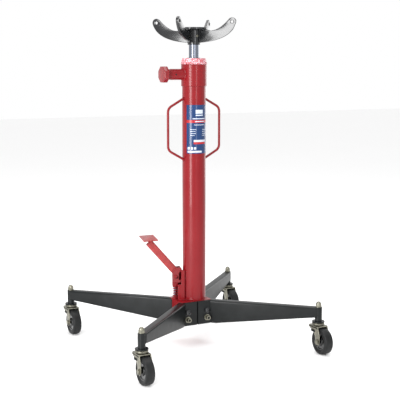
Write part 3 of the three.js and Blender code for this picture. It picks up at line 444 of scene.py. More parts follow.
def paint(
    name, gamma_colour, roughness, metallic=0.0, coat=0.0, mottle=0.12, grain=45, bump=0.0, wear_and_highlight=None, shine=0.5
):
    """A finish whose colour and gloss vary a little over the surface.

    Its wear and highlight argument is the colour, share and grain of patches: bare patches of wear, and on the
    gland's enamel painted highlight as well.
    """
    known = bpy.data.materials.get(name)
    if known:
        return known
    material = bpy.data.materials.new(name)
    material.use_nodes = True
    nodes, links = material.node_tree.nodes, material.node_tree.links
    shader = nodes["Principled BSDF"]
    shader.inputs["Metallic"].default_value = metallic
    shader.inputs["Specular IOR Level"].default_value = shine
    shader.inputs["Coat Weight"].default_value = coat
    shader.inputs["Coat Roughness"].default_value = COAT_ROUGHNESS
    place = nodes.new("ShaderNodeTexCoord")

    def cloud(scale, detail=3.0):
        texture = nodes.new("ShaderNodeTexNoise")
        texture.inputs["Scale"].default_value = scale
        texture.inputs["Detail"].default_value = detail
        links.new(place.outputs["Object"], texture.inputs["Vector"])
        return texture.outputs["Fac"]

    base = linear(gamma_colour)
    tint = nodes.new("ShaderNodeValToRGB")
    tint.color_ramp.elements[0].position = TINT_BAND[0]
    tint.color_ramp.elements[0].color = (*[v * (1 - mottle) for v in base[:3]], 1)
    tint.color_ramp.elements[1].position = TINT_BAND[1]
    tint.color_ramp.elements[1].color = (*[min(1, v * (1 + mottle) + 0.004) for v in base[:3]], 1)
    links.new(cloud(grain), tint.inputs["Fac"])
    shade = tint.outputs["Color"]
    gloss = nodes.new("ShaderNodeMapRange")
    gloss.inputs["To Min"].default_value = roughness * DULLNESS_SPREAD[0]
    gloss.inputs["To Max"].default_value = min(1, roughness * DULLNESS_SPREAD[1])
    links.new(cloud(grain * 2.3), gloss.inputs["Value"])
    dullness = gloss.outputs["Result"]
    if wear_and_highlight:
        patch_colour, share, patch_grain = wear_and_highlight
        patches = nodes.new("ShaderNodeValToRGB")
        patches.color_ramp.elements[0].position = 0.5 + (0.5 - share) * 0.42
        patches.color_ramp.elements[0].color = (0, 0, 0, 1)
        patches.color_ramp.elements[1].position = patches.color_ramp.elements[0].position + PATCH_EDGE
        patches.color_ramp.elements[1].color = (1, 1, 1, 1)
        links.new(cloud(patch_grain, 6.0), patches.inputs["Fac"])
        mix = nodes.new("ShaderNodeMix")
        mix.data_type = "RGBA"
        links.new(patches.outputs["Color"], mix.inputs["Factor"])
        links.new(shade, mix.inputs["A"])
        mix.inputs["B"].default_value = linear(patch_colour)
        shade = mix.outputs["Result"]
    links.new(shade, shader.inputs["Base Color"])
    links.new(dullness, shader.inputs["Roughness"])
    if bump:
        relief = nodes.new("ShaderNodeBump")
        relief.inputs["Strength"].default_value = bump
        relief.inputs["Distance"].default_value = RELIEF_DEPTH
        links.new(cloud(grain * 12), relief.inputs["Height"])
        links.new(relief.outputs["Normal"], shader.inputs["Normal"])
    return material


def enamel():
    return paint(
        "red_enamel", bpy.context.scene.jack_colours.enamel, 0.3, coat=0.18, mottle=0.07, grain=9, shine=0.2
    )


def worn_enamel():
    tone = bpy.context.scene.jack_colours.enamel
    return paint(
        "worn_red_enamel", tone, 0.32, coat=0.3, grain=40, bump=0.05, wear_and_highlight=(
            (0.72, 0.5, 0.5), 0.05, 110
        ), shine=0.3
    )


def highlight_and_rubbed_enamel():
    """Enamel over the gland and its weld, pale pink with whitish patches: painted highlight on the glossy ring,
    along with paint rubbed through to its pale ground over the weld.
    """
    tone = bpy.context.scene.jack_colours.highlight_and_rubbed_enamel
    return paint(
        "highlight_and_rubbed_red_enamel", tone, 0.4, coat=0.2, grain=50, bump=0.1, wear_and_highlight=(
            (0.82, 0.7, 0.73), 0.5, 190
        ), shine=0.3
    )


def pedal_enamel():
    tone = bpy.context.scene.jack_colours.pedal_enamel
    return paint("pedal_enamel", tone, 0.42, coat=0.1, mottle=0.16, grain=60, bump=0.08, shine=0.4)


def leg_coat():
    return paint(
        "leg_coat", bpy.context.scene.jack_colours.leg_coat, 0.34, mottle=0.2, grain=26, bump=0.08, shine=0.26
    )


def weld_coat():
    tone = bpy.context.scene.jack_colours.leg_coat
    return paint(
        "leg_weld_coat", tone, 0.4, grain=90, bump=0.2, wear_and_highlight=((0.36, 0.38, 0.38), 0.2, 120), shine=0.4
    )


def saddle_enamel():
    tone = bpy.context.scene.jack_colours.saddle_enamel
    return paint("saddle_enamel", tone, 0.18, coat=0.2, mottle=0.2, grain=30)


def chrome():
    return paint(
        "hard_chrome", bpy.context.scene.jack_colours.chrome, 0.07, metallic=1.0, mottle=0.03, grain=20
    )


def zinc():
    return paint(
        "dull_zinc", bpy.context.scene.jack_colours.zinc, 0.36, metallic=1.0, mottle=0.3, grain=70, bump=0.05
    )


def oiled_steel():
    return paint(
        "oiled_steel", bpy.context.scene.jack_colours.oiled_steel, 0.32, metallic=1.0, mottle=0.1, grain=60
    )


def tread_rubber():
    return paint(
        "tread_rubber", bpy.context.scene.jack_colours.tread, 0.5, mottle=0.2, grain=50, bump=0.1, shine=0.3
    )


def hub_plastic():
    return paint("hub_plastic", bpy.context.scene.jack_colours.tread, 0.2, coat=0.3, mottle=0.15, grain=40)


def seal_rubber():
    return paint("seal_rubber", bpy.context.scene.jack_colours.seal, 0.45, mottle=0.1, grain=60)


# Painted shade: a near-black finish for small dark discs that stand in for the shade inside holes and sockets.
def painted_hole_shade():
    return paint("painted_hole_shade", (0.06, 0.05, 0.05), 0.8, mottle=0.1, grain=80)


# ------------------------------------------------------------------ pieces


CARRIED_CREASE = 30  # degrees


def round_edges(obj, width, segments, crease):
    rounding = obj.modifiers.new("rounding", "BEVEL")
    rounding.width = width
    rounding.segments = segments
    rounding.limit_method = "ANGLE"
    rounding.angle_limit = math.radians(crease)
    rounding.harden_normals = True


def add_piece(name, shape, finish, body, nodes=(), ease=0.0, crease=38):
    """The shape as one piece of the jack. It stands for the frame's nodes, and moves with their body."""
    mesh = bpy.data.meshes.new(name)
    shape.to_mesh(mesh)
    shape.free()
    mesh.shade_smooth()
    obj = bpy.data.objects.new(name, mesh)
    bpy.context.scene.collection.objects.link(obj)
    if ease:
        round_edges(obj, ease, 3, crease)
    else:
        mesh.set_sharp_from_angle(angle=math.radians(crease))
    mesh.materials.append(finish)
    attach(obj, body)
    if nodes:
        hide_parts(*nodes)
    return obj


def enamelled(name, shape, nodes=()):
    """A fixed piece in the jack's red enamel."""
    return add_piece(name, shape, enamel(), "frame", nodes)


def coated(name, shape, nodes=(), ease=0.0):
    """A fixed piece in the legs' dark coat."""
    return add_piece(name, shape, leg_coat(), "frame", nodes, ease)


def plated(name, shape, body, nodes):
    """A piece in dull zinc plate."""
    return add_piece(name, shape, zinc(), body, nodes)


def blacked(name, shape, nodes=()):
    """A piece of the saddle in glossy black."""
    return add_piece(name, shape, saddle_enamel(), "saddle", nodes)


def carry(node, finish, ease=0.0):
    """A node of the frame that is shown as it is, with its edges broken and its faces smoothed."""
    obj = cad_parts[node]
    obj.data.materials.clear()
    obj.data.materials.append(finish)
    obj.data.shade_smooth()
    weld = obj.modifiers.new("weld", "WELD")
    weld.merge_threshold = 0.01 * MM
    if ease:
        round_edges(obj, ease, 2, CARRIED_CREASE)
    else:
        split = obj.modifiers.new("edges", "EDGE_SPLIT")
        split.split_angle = math.radians(CARRIED_CREASE)


class BuildBlock(bpy.types.Operator):
    """Shows the pump block, its edges broken"""

    bl_idname = "jack.build_block"
    bl_label = "Build pump block"

    def execute(self, context):
        carry("base_block", enamel(), ease=1.6 * MM)
        return {"FINISHED"}


class BuildLegs(bpy.types.Operator):
    """Builds the four tapered legs with their flanges, posts and welds"""

    bl_idname = "jack.build_legs"
    bl_label = "Build legs"

    def execute(self, context):
        sizes = context.scene.jack_legs
        block_low, block_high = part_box("base_block")
        block_middle = (block_low + block_high) / 2
        centre = Matrix.Translation(block_middle.to_2d().to_3d())
        stem = middle("caster_stem_front_left")
        corner = Vector((block_low.x, block_low.y))
        run = stem.to_2d() - corner
        length = run.length
        root = LEG_TOP - sizes.root_depth
        face = corner.y - FIT
        outer_face = face - sizes.flange_thickness
        slope_way = Matrix.Translation(corner.to_3d()) @ Matrix.Rotation(math.atan2(run.y, run.x), 4, "Z")
        washer_edge = middle("flange_screw_upper_front_left").x - 12 * MM
        disc_foot = foot_of("leg_front_left")
        bore, disc = 6.3 * MM, 25 * MM
        half = sizes.width / 2
        along = run.normalized()
        across = Vector((-along.y, along.x))
        tip = stem.to_2d()
        weld_x, weld_y = corner.x - FIT, corner.y + half * 1.38
        for name, (side, front) in CORNERS.items():
            mirror = centre @ Matrix.Diagonal((-side, -front, 1, 1)) @ centre.inverted()
            outline = [
                (-sizes.width, root),
                (0.02, root, 4 * MM),
                (length, LEG_TOP - sizes.tip_depth),
                (length, LEG_TOP),
                (-sizes.width, LEG_TOP),
            ]
            bar = moved(slab([eased(outline)], sizes.width, sizes.ease, steps=5), slope_way)
            trimmed(bar, (washer_edge, 0, 0), (1, 0, 0))
            coated("leg_bar_" + name, moved(bar, mirror), ["leg_" + name])
            flange = block(
                (corner.x, outer_face, root), (corner.x + sizes.flange_length + 2 * MM, face, LEG_TOP)
            )
            seam = block(
                (
                    corner.x + sizes.flange_length, face - 2.5 * MM, root
                ), (block_middle.x + 0.1 * MM, face, LEG_TOP - 1 * MM)
            )
            plates = moved(joined(flange, seam), mirror)
            coated("leg_flange_" + name, plates, ease=1.5 * MM)
            post_profile = [
                (bore, disc_foot),
                (disc, disc_foot, 1.2 * MM),
                (disc, disc_foot + 6 * MM, 1.2 * MM),
                (sizes.post_radius, disc_foot + 6 * MM, 1.5 * MM),
                (sizes.post_radius, LEG_TOP + 0.2 * MM, 1.5 * MM),
                (bore, LEG_TOP + 0.2 * MM),
            ]
            post = moved(lathed(post_profile, 64, closed=True), Matrix.Translation(stem.to_2d().to_3d()))
            coated("leg_post_" + name, moved(post, mirror))
            post_weld = [
                (tip + across * s * half * 0.82).to_3d() + Vector((0, 0, LEG_TOP - sizes.tip_depth * 0.96))
                for s in (-1, 1)
            ]
            welds = [
                bead(
                    straight(
                        (washer_edge, outer_face, root + 4 * MM), (washer_edge, outer_face, LEG_TOP - 4 * MM)
                    ),
                    sizes.weld,
                ),
                bead(
                    straight((weld_x, weld_y, root + 4 * MM), (weld_x, weld_y, LEG_TOP - 5 * MM)), sizes.weld
                ),
                moved(
                    round_bead(sizes.post_radius, disc_foot + 6.6 * MM, 1.3 * MM, 90),
                    Matrix.Translation(tip.to_3d()),
                ),
                bead(straight(*post_weld), 1.5 * MM),
            ]
            add_piece("leg_welds_" + name, moved(joined(*welds), mirror), weld_coat(), "frame")
        return {"FINISHED"}


class BuildFlangeScrews(bpy.types.Operator):
    """Builds the screws that hold the legs' flanges to the block"""

    bl_idname = "jack.build_flange_screws"
    bl_label = "Build flange screws"

    def execute(self, context):
        for name, (_side, front) in CORNERS.items():
            for row in ("upper", "lower"):
                node = "flange_screw_" + row + "_" + name
                centre = middle(node)
                low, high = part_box(node)
                tip = low.y if front < 0 else high.y
                seat, shank, shank_end = 11 * MM, 5 * MM, -32 * MM
                facing_out = Matrix.Rotation(front * -math.pi / 2, 4, "X")
                place = Matrix.Translation((centre.x, tip, centre.z)) @ facing_out
                if row == "upper":
                    head = lathed(
                        [
                            (0, shank_end),
                            (shank, shank_end),
                            (shank, -8.5 * MM),
                            (seat, -8.5 * MM, 0.4 * MM),
                            (seat, -6.6 * MM, 0.4 * MM),
                            (10 * MM, -6.5 * MM),
                            (10 * MM, -1.5 * MM, 3.2 * MM),
                            (4.2 * MM, 0),
                            (4.0 * MM, -2.2 * MM),
                            (0, -2.4 * MM),
                        ],
                        64,
                    )
                    add_piece(
                        node + "_button", moved(head, place), saddle_enamel(), "frame", [node]
                    )
                else:
                    washer = ring(5.2 * MM, seat, -14 * MM, -12.1 * MM, 0.5 * MM, 64)
                    head = lathed(
                        [
                            (0, shank_end),
                            (shank, shank_end),
                            (shank, -12 * MM),
                            (8 * MM, -12 * MM),
                            (8 * MM, 0, 1 * MM),
                            (5.2 * MM, 0, 0.4 * MM),
                            (4.6 * MM, -0.6 * MM),
                            (4.6 * MM, -5 * MM),
                            (0, -5 * MM),
                        ],
                        64,
                    )
                    screw = joined(head, washer)
                    plated(node + "_socket", moved(screw, place), "frame", [node])
                    # A dark disc in the socket's hex recess: painted shade standing for the dark hollow of the
                    # socket.
                    socket_shade_disc = turned(
                        [(0, -4.9 * MM), (4.55 * MM, -4.9 * MM), (4.55 * MM, -1.2 * MM), (0, -1.2 * MM)], 6
                    )
                    add_piece(node + "_key_socket_shade", moved(socket_shade_disc, place), painted_hole_shade(), "frame")
        return {"FINISHED"}


class BuildCasters(bpy.types.Operator):
    """Builds the four swivel casters: nut, stem with its race, pressed fork, axle and wheel"""

    bl_idname = "jack.build_casters"
    bl_label = "Build casters"

    def execute(self, context):
        sizes = context.scene.jack_casters
        for name in CORNERS:
            stem_node = "caster_stem_" + name
            stem = middle(stem_node).to_2d()
            place = Matrix.Translation(stem.to_3d())
            wheel = middle("caster_wheel_" + name)
            trail = stem.y - wheel.y
            fork_top = top_of("caster_fork_" + name)
            race_foot = fork_top + FIT
            self.build_stem(name, place, race_foot)
            self.build_nut(name, place, sizes)
            self.build_fork(name, place, sizes, fork_top, trail, wheel.z)
            axle_place = place @ Matrix.Translation((0, -trail, wheel.z))
            self.build_axle(name, axle_place)
            self.build_wheel(name, axle_place, sizes)
        return {"FINISHED"}

    def build_stem(self, name, place, race_foot):
        top = top_of("caster_stem_" + name)
        race_top = race_foot + 11 * MM
        disc_foot = foot_of("leg_" + name)
        profile = [
            (0, foot_of("caster_stem_" + name)),
            (10 * MM, foot_of("caster_stem_" + name), 0.8 * MM),
            (10 * MM, race_foot - 4 * MM),
            (6 * MM, race_foot - 4 * MM),
            (6 * MM, race_foot),
            (18 * MM, race_foot, 1 * MM),
            (21.4 * MM, race_foot + 2.2 * MM, 1 * MM),
            (21.4 * MM, race_foot + 4.2 * MM, 0.6 * MM),
            (20.2 * MM, race_foot + 4.6 * MM, 0.3 * MM),
            (20.2 * MM, race_foot + 5.2 * MM, 0.3 * MM),
            (22 * MM, race_foot + 5.6 * MM, 0.8 * MM),
            (21.6 * MM, race_foot + 8 * MM, 1.4 * MM),
            (17 * MM, race_top - 0.8 * MM, 1.5 * MM),
            (11 * MM, race_top),
            (11 * MM, disc_foot - FIT),
            (6 * MM, disc_foot - FIT),
            (6 * MM, top),
            (0, top),
        ]
        stem = lathed(profile, 64)
        dust_cap = ring(11.2 * MM, 22 * MM, race_top - 0.6 * MM, race_top + 2.6 * MM, 0.9 * MM, 64)
        coated("caster_dust_cap_" + name, moved(dust_cap, place))
        plated("caster_race_" + name, moved(stem, place), "frame", ["caster_stem_" + name])

    def build_nut(self, name, place, sizes):
        foot = foot_of("caster_nut_" + name)
        top = top_of("caster_nut_" + name)
        flats = sizes.nut_across
        shoulder = foot + 9.6 * MM
        hexagon = prism(6, flats, foot, shoulder, 0.9 * MM)
        radius = flats / 2 - 0.3 * MM
        dome = turned(
            [(0, foot + 1 * MM), (radius, foot + 1 * MM), (radius, shoulder)]
            + [
                (radius * math.cos(math.radians(t)), shoulder + (top - shoulder) * math.sin(math.radians(t)))
                for t in range(8, 90, 8)
            ]
            + [(0, top)],
            48,
        )
        collar = ring(6.3 * MM, flats / 2 + 1.4 * MM, foot, foot + 1.6 * MM, 0.6 * MM, 48)
        nut = joined(hexagon, dome, collar)
        plated("caster_acorn_nut_" + name, moved(nut, place), "frame", ["caster_nut_" + name])

    def build_fork(self, name, place, sizes, fork_top, trail, axle_height):
        steel = sizes.fork_steel
        outer = span("caster_fork_" + name).x / 2
        front, eye = 26 * MM, 12 * MM
        side = [
            (front, fork_top, 2 * MM),
            (-front, fork_top, 2 * MM),
            (-front - 3 * MM, fork_top - 10 * MM, 3 * MM),
        ]
        low_left = (-trail - eye, axle_height)
        side += bezier(
            (-front - 3 * MM, fork_top - 10 * MM),
            (-trail - eye - 2 * MM, axle_height + 26 * MM),
            (-trail - eye - 0.5 * MM, axle_height + 12 * MM),
            low_left,
            10,
        )
        side += arc(-trail, axle_height, eye, 180, 360, 18)[1:]
        side += bezier(
            (-trail + eye, axle_height),
            (-trail + eye + 1.5 * MM, fork_top - 30 * MM),
            (-trail + eye + 12 * MM, fork_top - 16 * MM),
            (front, fork_top - 9 * MM),
            10,
        )
        hole = circle(-trail, axle_height, 4.9 * MM)
        parts = []
        for at in (-1, 1):
            plate = slab([eased(side), hole], steel, 0.9 * MM)
            parts.append(
                moved(
                    plate,
                    Matrix.Translation(
                        (at * (outer - steel / 2), 0, 0)
                    ) @ Matrix.Rotation(math.pi / 2, 4, "Z"),
                )
            )
            rib = swept(
                straight(
                    (at * (outer - 0.6 * MM), 18 * MM, fork_top - 12 * MM),
                    (at * (outer - 0.6 * MM), -12 * MM, fork_top - 14 * MM),
                ),
                1.1 * MM,
            )
            parts.append(rib)
        fold = 3.4 * MM
        crown = [
            (-outer, fork_top - 7 * MM),
            (-outer, fork_top, fold * 1.6),
            (outer, fork_top, fold * 1.6),
            (outer, fork_top - 7 * MM),
            (outer - steel, fork_top - 7 * MM),
            (outer - steel, fork_top - steel, 1 * MM),
            (-outer + steel, fork_top - steel, 1 * MM),
            (-outer + steel, fork_top - 7 * MM),
        ]
        parts.append(slab([eased(crown, steps=6)], 2 * front, 0.4 * MM))
        fork = moved(joined(*parts), place)
        plated("caster_pressed_fork_" + name, fork, "caster_" + name, ["caster_fork_" + name])

    def build_axle(self, name, place):
        end = span("caster_fork_" + name).x / 2 + FIT
        shaft = turned(
            [(0, -end - 2 * MM), (4.5 * MM, -end - 2 * MM), (4.5 * MM, end + 2 * MM), (0, end + 2 * MM)], 40
        )
        parts = [moved(shaft, ALONG_X)]
        for at in (-1, 1):
            head = prism(6, 15 * MM, 0, 5.4 * MM, 0.9 * MM)
            parts.append(
                moved(head, Matrix.Translation((at * end, 0, 0)) @ Matrix.Rotation(at * math.pi / 2, 4, "Y"))
            )
            washer = ring(4.6 * MM, 9.4 * MM, 0, 1.0 * MM, 0.4 * MM, 40)
            parts.append(
                moved(
                    washer, Matrix.Translation((at * end, 0, 0)) @ Matrix.Rotation(at * math.pi / 2, 4, "Y")
                )
            )
        axle = moved(joined(*parts), place)
        plated("caster_bolt_" + name, axle, "caster_" + name, ["caster_axle_" + name])

    def build_wheel(self, name, place, sizes):
        radius, half = sizes.wheel_radius, sizes.wheel_width / 2
        hub, bore = sizes.hub_radius, 5 * MM
        flank = radius - 8 * MM
        core = radius - 17 * MM
        outline = [
            (core, half - 4 * MM, 1 * MM),
            (flank - 3 * MM, half - 1.2 * MM, 1.5 * MM),
            (flank, half, 1.5 * MM),
            (radius - 1 * MM, half - 2.5 * MM, sizes.tread_ease * 0.5),
            (radius, half - 8 * MM, 4 * MM),
        ]
        tyre = eased(outline + [(r, -z, *rest) for r, z, *rest in reversed(outline)])
        tyre = moved(turned(tyre, 96, closed=True), place @ ALONG_X)
        add_piece(
            "caster_tyre_" + name, tyre, tread_rubber(), "wheel_" + name, [
                "caster_wheel_" + name
            ]
        )
        rim = [
            (bore, half - 2.5 * MM),
            (hub - 4 * MM, half - 2.5 * MM, 1 * MM),
            (hub - 1 * MM, half - 4 * MM, 1 * MM),
            (hub, half - 7.5 * MM, 1.5 * MM),
            (core - 4 * MM, half - 7.5 * MM, 1.5 * MM),
            (core - 2 * MM, half - 4 * MM, 1 * MM),
            (core + 1 * MM, half - 4 * MM),
        ]
        hub_profile = eased(rim + [(r, -z, *rest) for r, z, *rest in reversed(rim)])
        hub_shape = moved(turned(hub_profile, 96, closed=True), place @ ALONG_X)
        add_piece("caster_hub_" + name, hub_shape, hub_plastic(), "wheel_" + name)


class BuildColumn(bpy.types.Operator):
    """Builds the column tube, collar, gland ring and seal, and shows the cylinder inside"""

    bl_idname = "jack.build_column"
    bl_label = "Build column"

    def execute(self, context):
        sizes = context.scene.jack_column
        tube_low, tube_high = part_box("column_tube")
        inner = COLUMN_RADIUS - 4 * MM
        tube = ring(inner, COLUMN_RADIUS, tube_low.z, tube_high.z)
        enamelled("column_shell", moved(tube, ON_COLUMN), ["column_tube"])
        weld = round_bead(COLUMN_RADIUS + FIT, BLOCK_TOP + 0.9 * MM, sizes.weld)
        enamelled("column_foot_weld", moved(weld, ON_COLUMN))

        collar_low, collar_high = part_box("column_collar")
        collar = ring(
            COLUMN_RADIUS + FIT, sizes.collar_radius, collar_low.z, collar_high.z, sizes.collar_ease
        )
        enamelled("collar_sleeve", moved(collar, ON_COLUMN), ["column_collar"])

        gland_low, gland_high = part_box("gland_ring")
        outer = span("gland_ring").x / 2 + 1.2 * MM
        seat = collar_high.z + FIT
        ram_bore = span("ram").x / 2 + 0.5 * MM
        profile = eased(
            [
                (ram_bore, gland_low.z),
                (inner - 0.5 * MM, gland_low.z),
                (inner - 0.5 * MM, seat),
                (outer - 1.6 * MM, seat, 0.5 * MM),
                (outer, seat + 2.5 * MM, 1.5 * MM),
                (outer, gland_high.z - 7 * MM, 1.2 * MM),
                (outer - 2.2 * MM, gland_high.z - 5 * MM, 1.0 * MM),
                (outer - 2.2 * MM, gland_high.z, sizes.gland_ease * 0.5),
                (24.3 * MM, gland_high.z, 0.6 * MM),
                (24.3 * MM, gland_high.z - 3 * MM),
                (ram_bore, gland_high.z - 3 * MM),
            ]
        )
        gland = turned(profile, 96, closed=True)
        # The gland ring and its welds are pale pink with whitish patches: painted highlight, along with rubbed
        # paint.
        add_piece("gland_nut", moved(gland, ON_COLUMN), highlight_and_rubbed_enamel(), "frame", ["gland_ring"])
        neck_weld = joined(
            round_bead(outer + 0.4 * MM, seat + 2.2 * MM, 2.2 * MM),
            round_bead(outer - 0.2 * MM, seat + 6.2 * MM, 1.8 * MM),
        )
        add_piece("gland_weld", moved(neck_weld, ON_COLUMN), highlight_and_rubbed_enamel(), "frame")

        seal_low, seal_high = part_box("wiper_seal")
        seal = lathed(
            [
                (ram_bore + 0.8 * MM, seal_low.z),
                (23.9 * MM, seal_low.z),
                (23.9 * MM, seal_high.z - 1.2 * MM, 0.8 * MM),
                (21 * MM, seal_high.z, 0.8 * MM),
                (ram_bore, seal_high.z, 0.5 * MM),
                (ram_bore, seal_high.z - 1.5 * MM),
            ],
            96,
            closed=True,
        )
        add_piece("wiper_lip", moved(seal, ON_COLUMN), seal_rubber(), "frame", ["wiper_seal"])
        carry("cylinder_tube", oiled_steel())
        return {"FINISHED"}


class BuildRam(bpy.types.Operator):
    """Builds the chromed ram and shows the piston on its foot"""

    bl_idname = "jack.build_ram"
    bl_label = "Build ram"

    def execute(self, context):
        low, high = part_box("ram")
        radius = span("ram").x / 2
        profile = eased(
            [(0, low.z), (radius, low.z, 0.8 * MM), (radius, high.z, 2 * MM), (0, high.z)], closed=False
        )
        add_piece("ram_rod", moved(turned(profile), ON_COLUMN), chrome(), "ram", ["ram"])
        carry("ram_piston", oiled_steel())
        return {"FINISHED"}


class BuildLabel(bpy.types.Operator):
    """Builds the printed label on the column's front, with plain bars and blocks in place of print"""

    bl_idname = "jack.build_label"
    bl_label = "Build label"

    def execute(self, context):
        sizes = context.scene.jack_label
        colours = context.scene.jack_colours
        half = math.degrees(sizes.half_turn)
        ground = paint("label_ground", colours.label, 0.26, coat=0.25, mottle=0.06, grain=14, shine=0.3)
        white = paint("label_white", colours.label_marks, 0.3, mottle=0.03, grain=30)
        stripe = paint("label_red", colours.label_stripe, 0.3, mottle=0.05, grain=30)
        base = self.patch(sizes, -half, half, 0, 1, 1)
        add_piece("label_film", moved(base, ON_COLUMN), ground, "frame")
        # Each mark is left and right in degrees from the front, then lower and upper share of the height.
        bars = [
            (-19, 20, 0.82, 0.90),
            (-19, 20, 0.775, 0.80),
            (-34, 34, 0.709, 0.728),
            (-22, 30, 0.652, 0.670),
            (-26, 30, 0.584, 0.596),
            (-45, -16, 0.492, 0.502),
            (-45, -20, 0.452, 0.462),
            (-45, -18, 0.410, 0.420),
            (-45, -24, 0.370, 0.380),
            (16, 48, 0.492, 0.502),
            (16, 44, 0.452, 0.462),
            (16, 46, 0.410, 0.420),
            (16, 40, 0.370, 0.380),
            (-29, 38, 0.240, 0.284),
            (-60, -48, 0.085, 0.135),
            (-42, -32, 0.085, 0.135),
            (-27, -17, 0.085, 0.135),
            (-60, 13, 0.022, 0.060),
        ]
        marks = joined(*[self.patch(sizes, *bar, 2) for bar in bars])
        add_piece("label_plain_bars", moved(marks, ON_COLUMN), white, "frame")
        panels = [(-half, half, 0.634, 0.69), (-29, 38, 0.195, 0.240)]
        red = joined(*[self.patch(sizes, *panel, 1.5) for panel in panels])
        add_piece("label_stripes", moved(red, ON_COLUMN), stripe, "frame")
        return {"FINISHED"}

    def patch(self, sizes, left, right, low, high, layer):
        """A film wrapped on the column between two angles and two shares of the label's height."""
        height = sizes.top - sizes.foot
        steps = max(2, round((right - left) / 3))
        radius = COLUMN_RADIUS + sizes.thickness * layer
        shape = bmesh.new()
        rows = []
        for step in range(steps + 1):
            turn = math.radians(-90 + left + (right - left) * step / steps)
            x, y = radius * math.cos(turn), radius * math.sin(turn)
            rows.append([shape.verts.new((x, y, sizes.foot + height * share)) for share in (low, high)])
        for near, far in zip(rows, rows[1:]):
            shape.faces.new((near[0], far[0], far[1], near[1]))
        return shape


class BuildSaddle(bpy.types.Operator):
    """Builds the saddle: socket, disc, four arms, their welds and the set screw"""

    bl_idname = "jack.build_saddle"
    bl_label = "Build saddle"

    def execute(self, context):
        sizes = context.scene.jack_saddle
        low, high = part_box("saddle_socket")
        outer = span("saddle_socket").x / 2
        inner = span("ram").x / 2 + 0.5 * MM
        socket = ring(inner, outer, low.z, high.z, 1.4 * MM)
        blacked("saddle_hub", moved(socket, ON_COLUMN), ["saddle_socket"])
        disc_low, disc_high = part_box("saddle_disc")
        rim = span("saddle_disc").x / 2
        profile = eased(
            [(0, disc_low.z), (rim, disc_low.z, 2 * MM), (rim, disc_high.z, 2.4 * MM), (0, disc_high.z)],
            closed=False,
        )
        blacked("saddle_plate", moved(turned(profile), ON_COLUMN), ["saddle_disc"])
        for name, turn in ARM_ANGLES.items():
            place = ON_COLUMN @ Matrix.Translation((0, 0, low.z)) @ Matrix.Rotation(
                math.radians(turn), 4, "Z"
            )
            self.build_arm(name, place, sizes, outer, rim)
        self.build_set_screw()
        return {"FINISHED"}

    def build_arm(self, name, place, sizes, outer, rim):
        reach, rise, tip = sizes.arm_reach, sizes.arm_rise, sizes.tip_radius
        root = outer + 0.2 * MM
        under_disc = 52 * MM
        start = (root, 7 * MM)
        low_tip = arc(reach, rise, tip, -20, -20, 1)[0]
        high_tip = arc(reach, rise, tip, 125, 125, 1)[0]
        outline = [start]
        outline += bezier(start, (reach * 0.67, 12 * MM), (reach, 31 * MM), low_tip, 22)
        outline += arc(reach, rise, tip, -20, 125, 20)[1:]
        outline += bezier(
            high_tip, (reach - 24 * MM, rise - 4 * MM), (reach - 47 * MM, under_disc - 4 * MM),
            (rim + 14 * MM, under_disc - 4 * MM), 20,
        )
        outline += [(rim + 2 * MM, under_disc - FIT), (root, under_disc - FIT)]
        arm = slab([outline, circle(reach, rise, sizes.hole_radius)], sizes.arm_thickness, sizes.arm_ease, 3)
        blacked("saddle_prong_" + name, moved(arm, place), ["saddle_arm_" + name])
        half = sizes.arm_thickness / 2
        welds = []
        for side in (-1, 1):
            welds.append(
                bead(
                    straight((root, side * half, 8 * MM), (root, side * half, under_disc - 1 * MM)), 1.3 * MM
                )
            )
            welds.append(
                bead(
                    straight(
                        (root, side * half, under_disc - 0.6 * MM),
                        (rim - 2 * MM, side * half, under_disc - 0.6 * MM),
                    ),
                    1.3 * MM,
                )
            )
        blacked("saddle_weld_" + name, moved(joined(*welds), place))

    def build_set_screw(self):
        low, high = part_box("saddle_set_screw")
        tip = lathed(
            [
                (0, -6 * MM),
                (4 * MM, -6 * MM),
                (4 * MM, 0, 0.6 * MM),
                (2.3 * MM, 0),
                (2.3 * MM, -2.6 * MM),
                (0, -2.8 * MM),
            ],
            40,
        )
        front = Matrix.Translation(
            (COLUMN_AXIS.x, low.y, (low.z + high.z) / 2)
        ) @ Matrix.Rotation(math.pi / 2, 4, "X")
        plated("saddle_grub_screw", moved(tip, front), "saddle", ["saddle_set_screw"])


class BuildHandles(bpy.types.Operator):
    """Builds the two bent rods welded to the column's sides"""

    bl_idname = "jack.build_handles"
    bl_label = "Build side handles"

    def execute(self, context):
        sizes = context.scene.jack_handles
        low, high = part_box("side_handle_right")
        centre = (low.z + high.z) / 2
        drop = (sizes.reach - COLUMN_RADIUS) * math.tan(sizes.slope)
        half = 106 * MM
        inward = COLUMN_RADIUS - 1 * MM
        extra = 1 * MM * math.tan(sizes.slope)
        corners = [
            (inward, half + extra),
            (sizes.reach, half - drop, sizes.bend),
            (sizes.reach, -half + drop, sizes.bend),
            (inward, -half - extra),
        ]
        for name, turn in (("right", 0), ("left", math.pi)):
            place = ON_COLUMN @ Matrix.Translation((0, 0, centre)) @ Matrix.Rotation(turn, 4, "Z")
            route = [(x, 0, z) for x, z in eased(corners, closed=False, steps=14)]
            node = "side_handle_" + name
            rod = swept(route, sizes.rod_radius, resolution=6)
            enamelled("handle_rod_" + name, moved(rod, place), [node])
            welds = []
            for level in (half, -half):
                lean = math.copysign(1, level) * sizes.slope
                stretch = Matrix.Translation(
                    (COLUMN_RADIUS + 0.4 * MM, 0, level)
                ) @ Matrix.Rotation(lean, 4, "Y")
                oval = moved(round_bead(sizes.rod_radius, 0, 1.5 * MM, 60), stretch @ ALONG_X)
                welds.append(oval)
            enamelled("handle_welds_" + name, moved(joined(*welds), place))
        return {"FINISHED"}


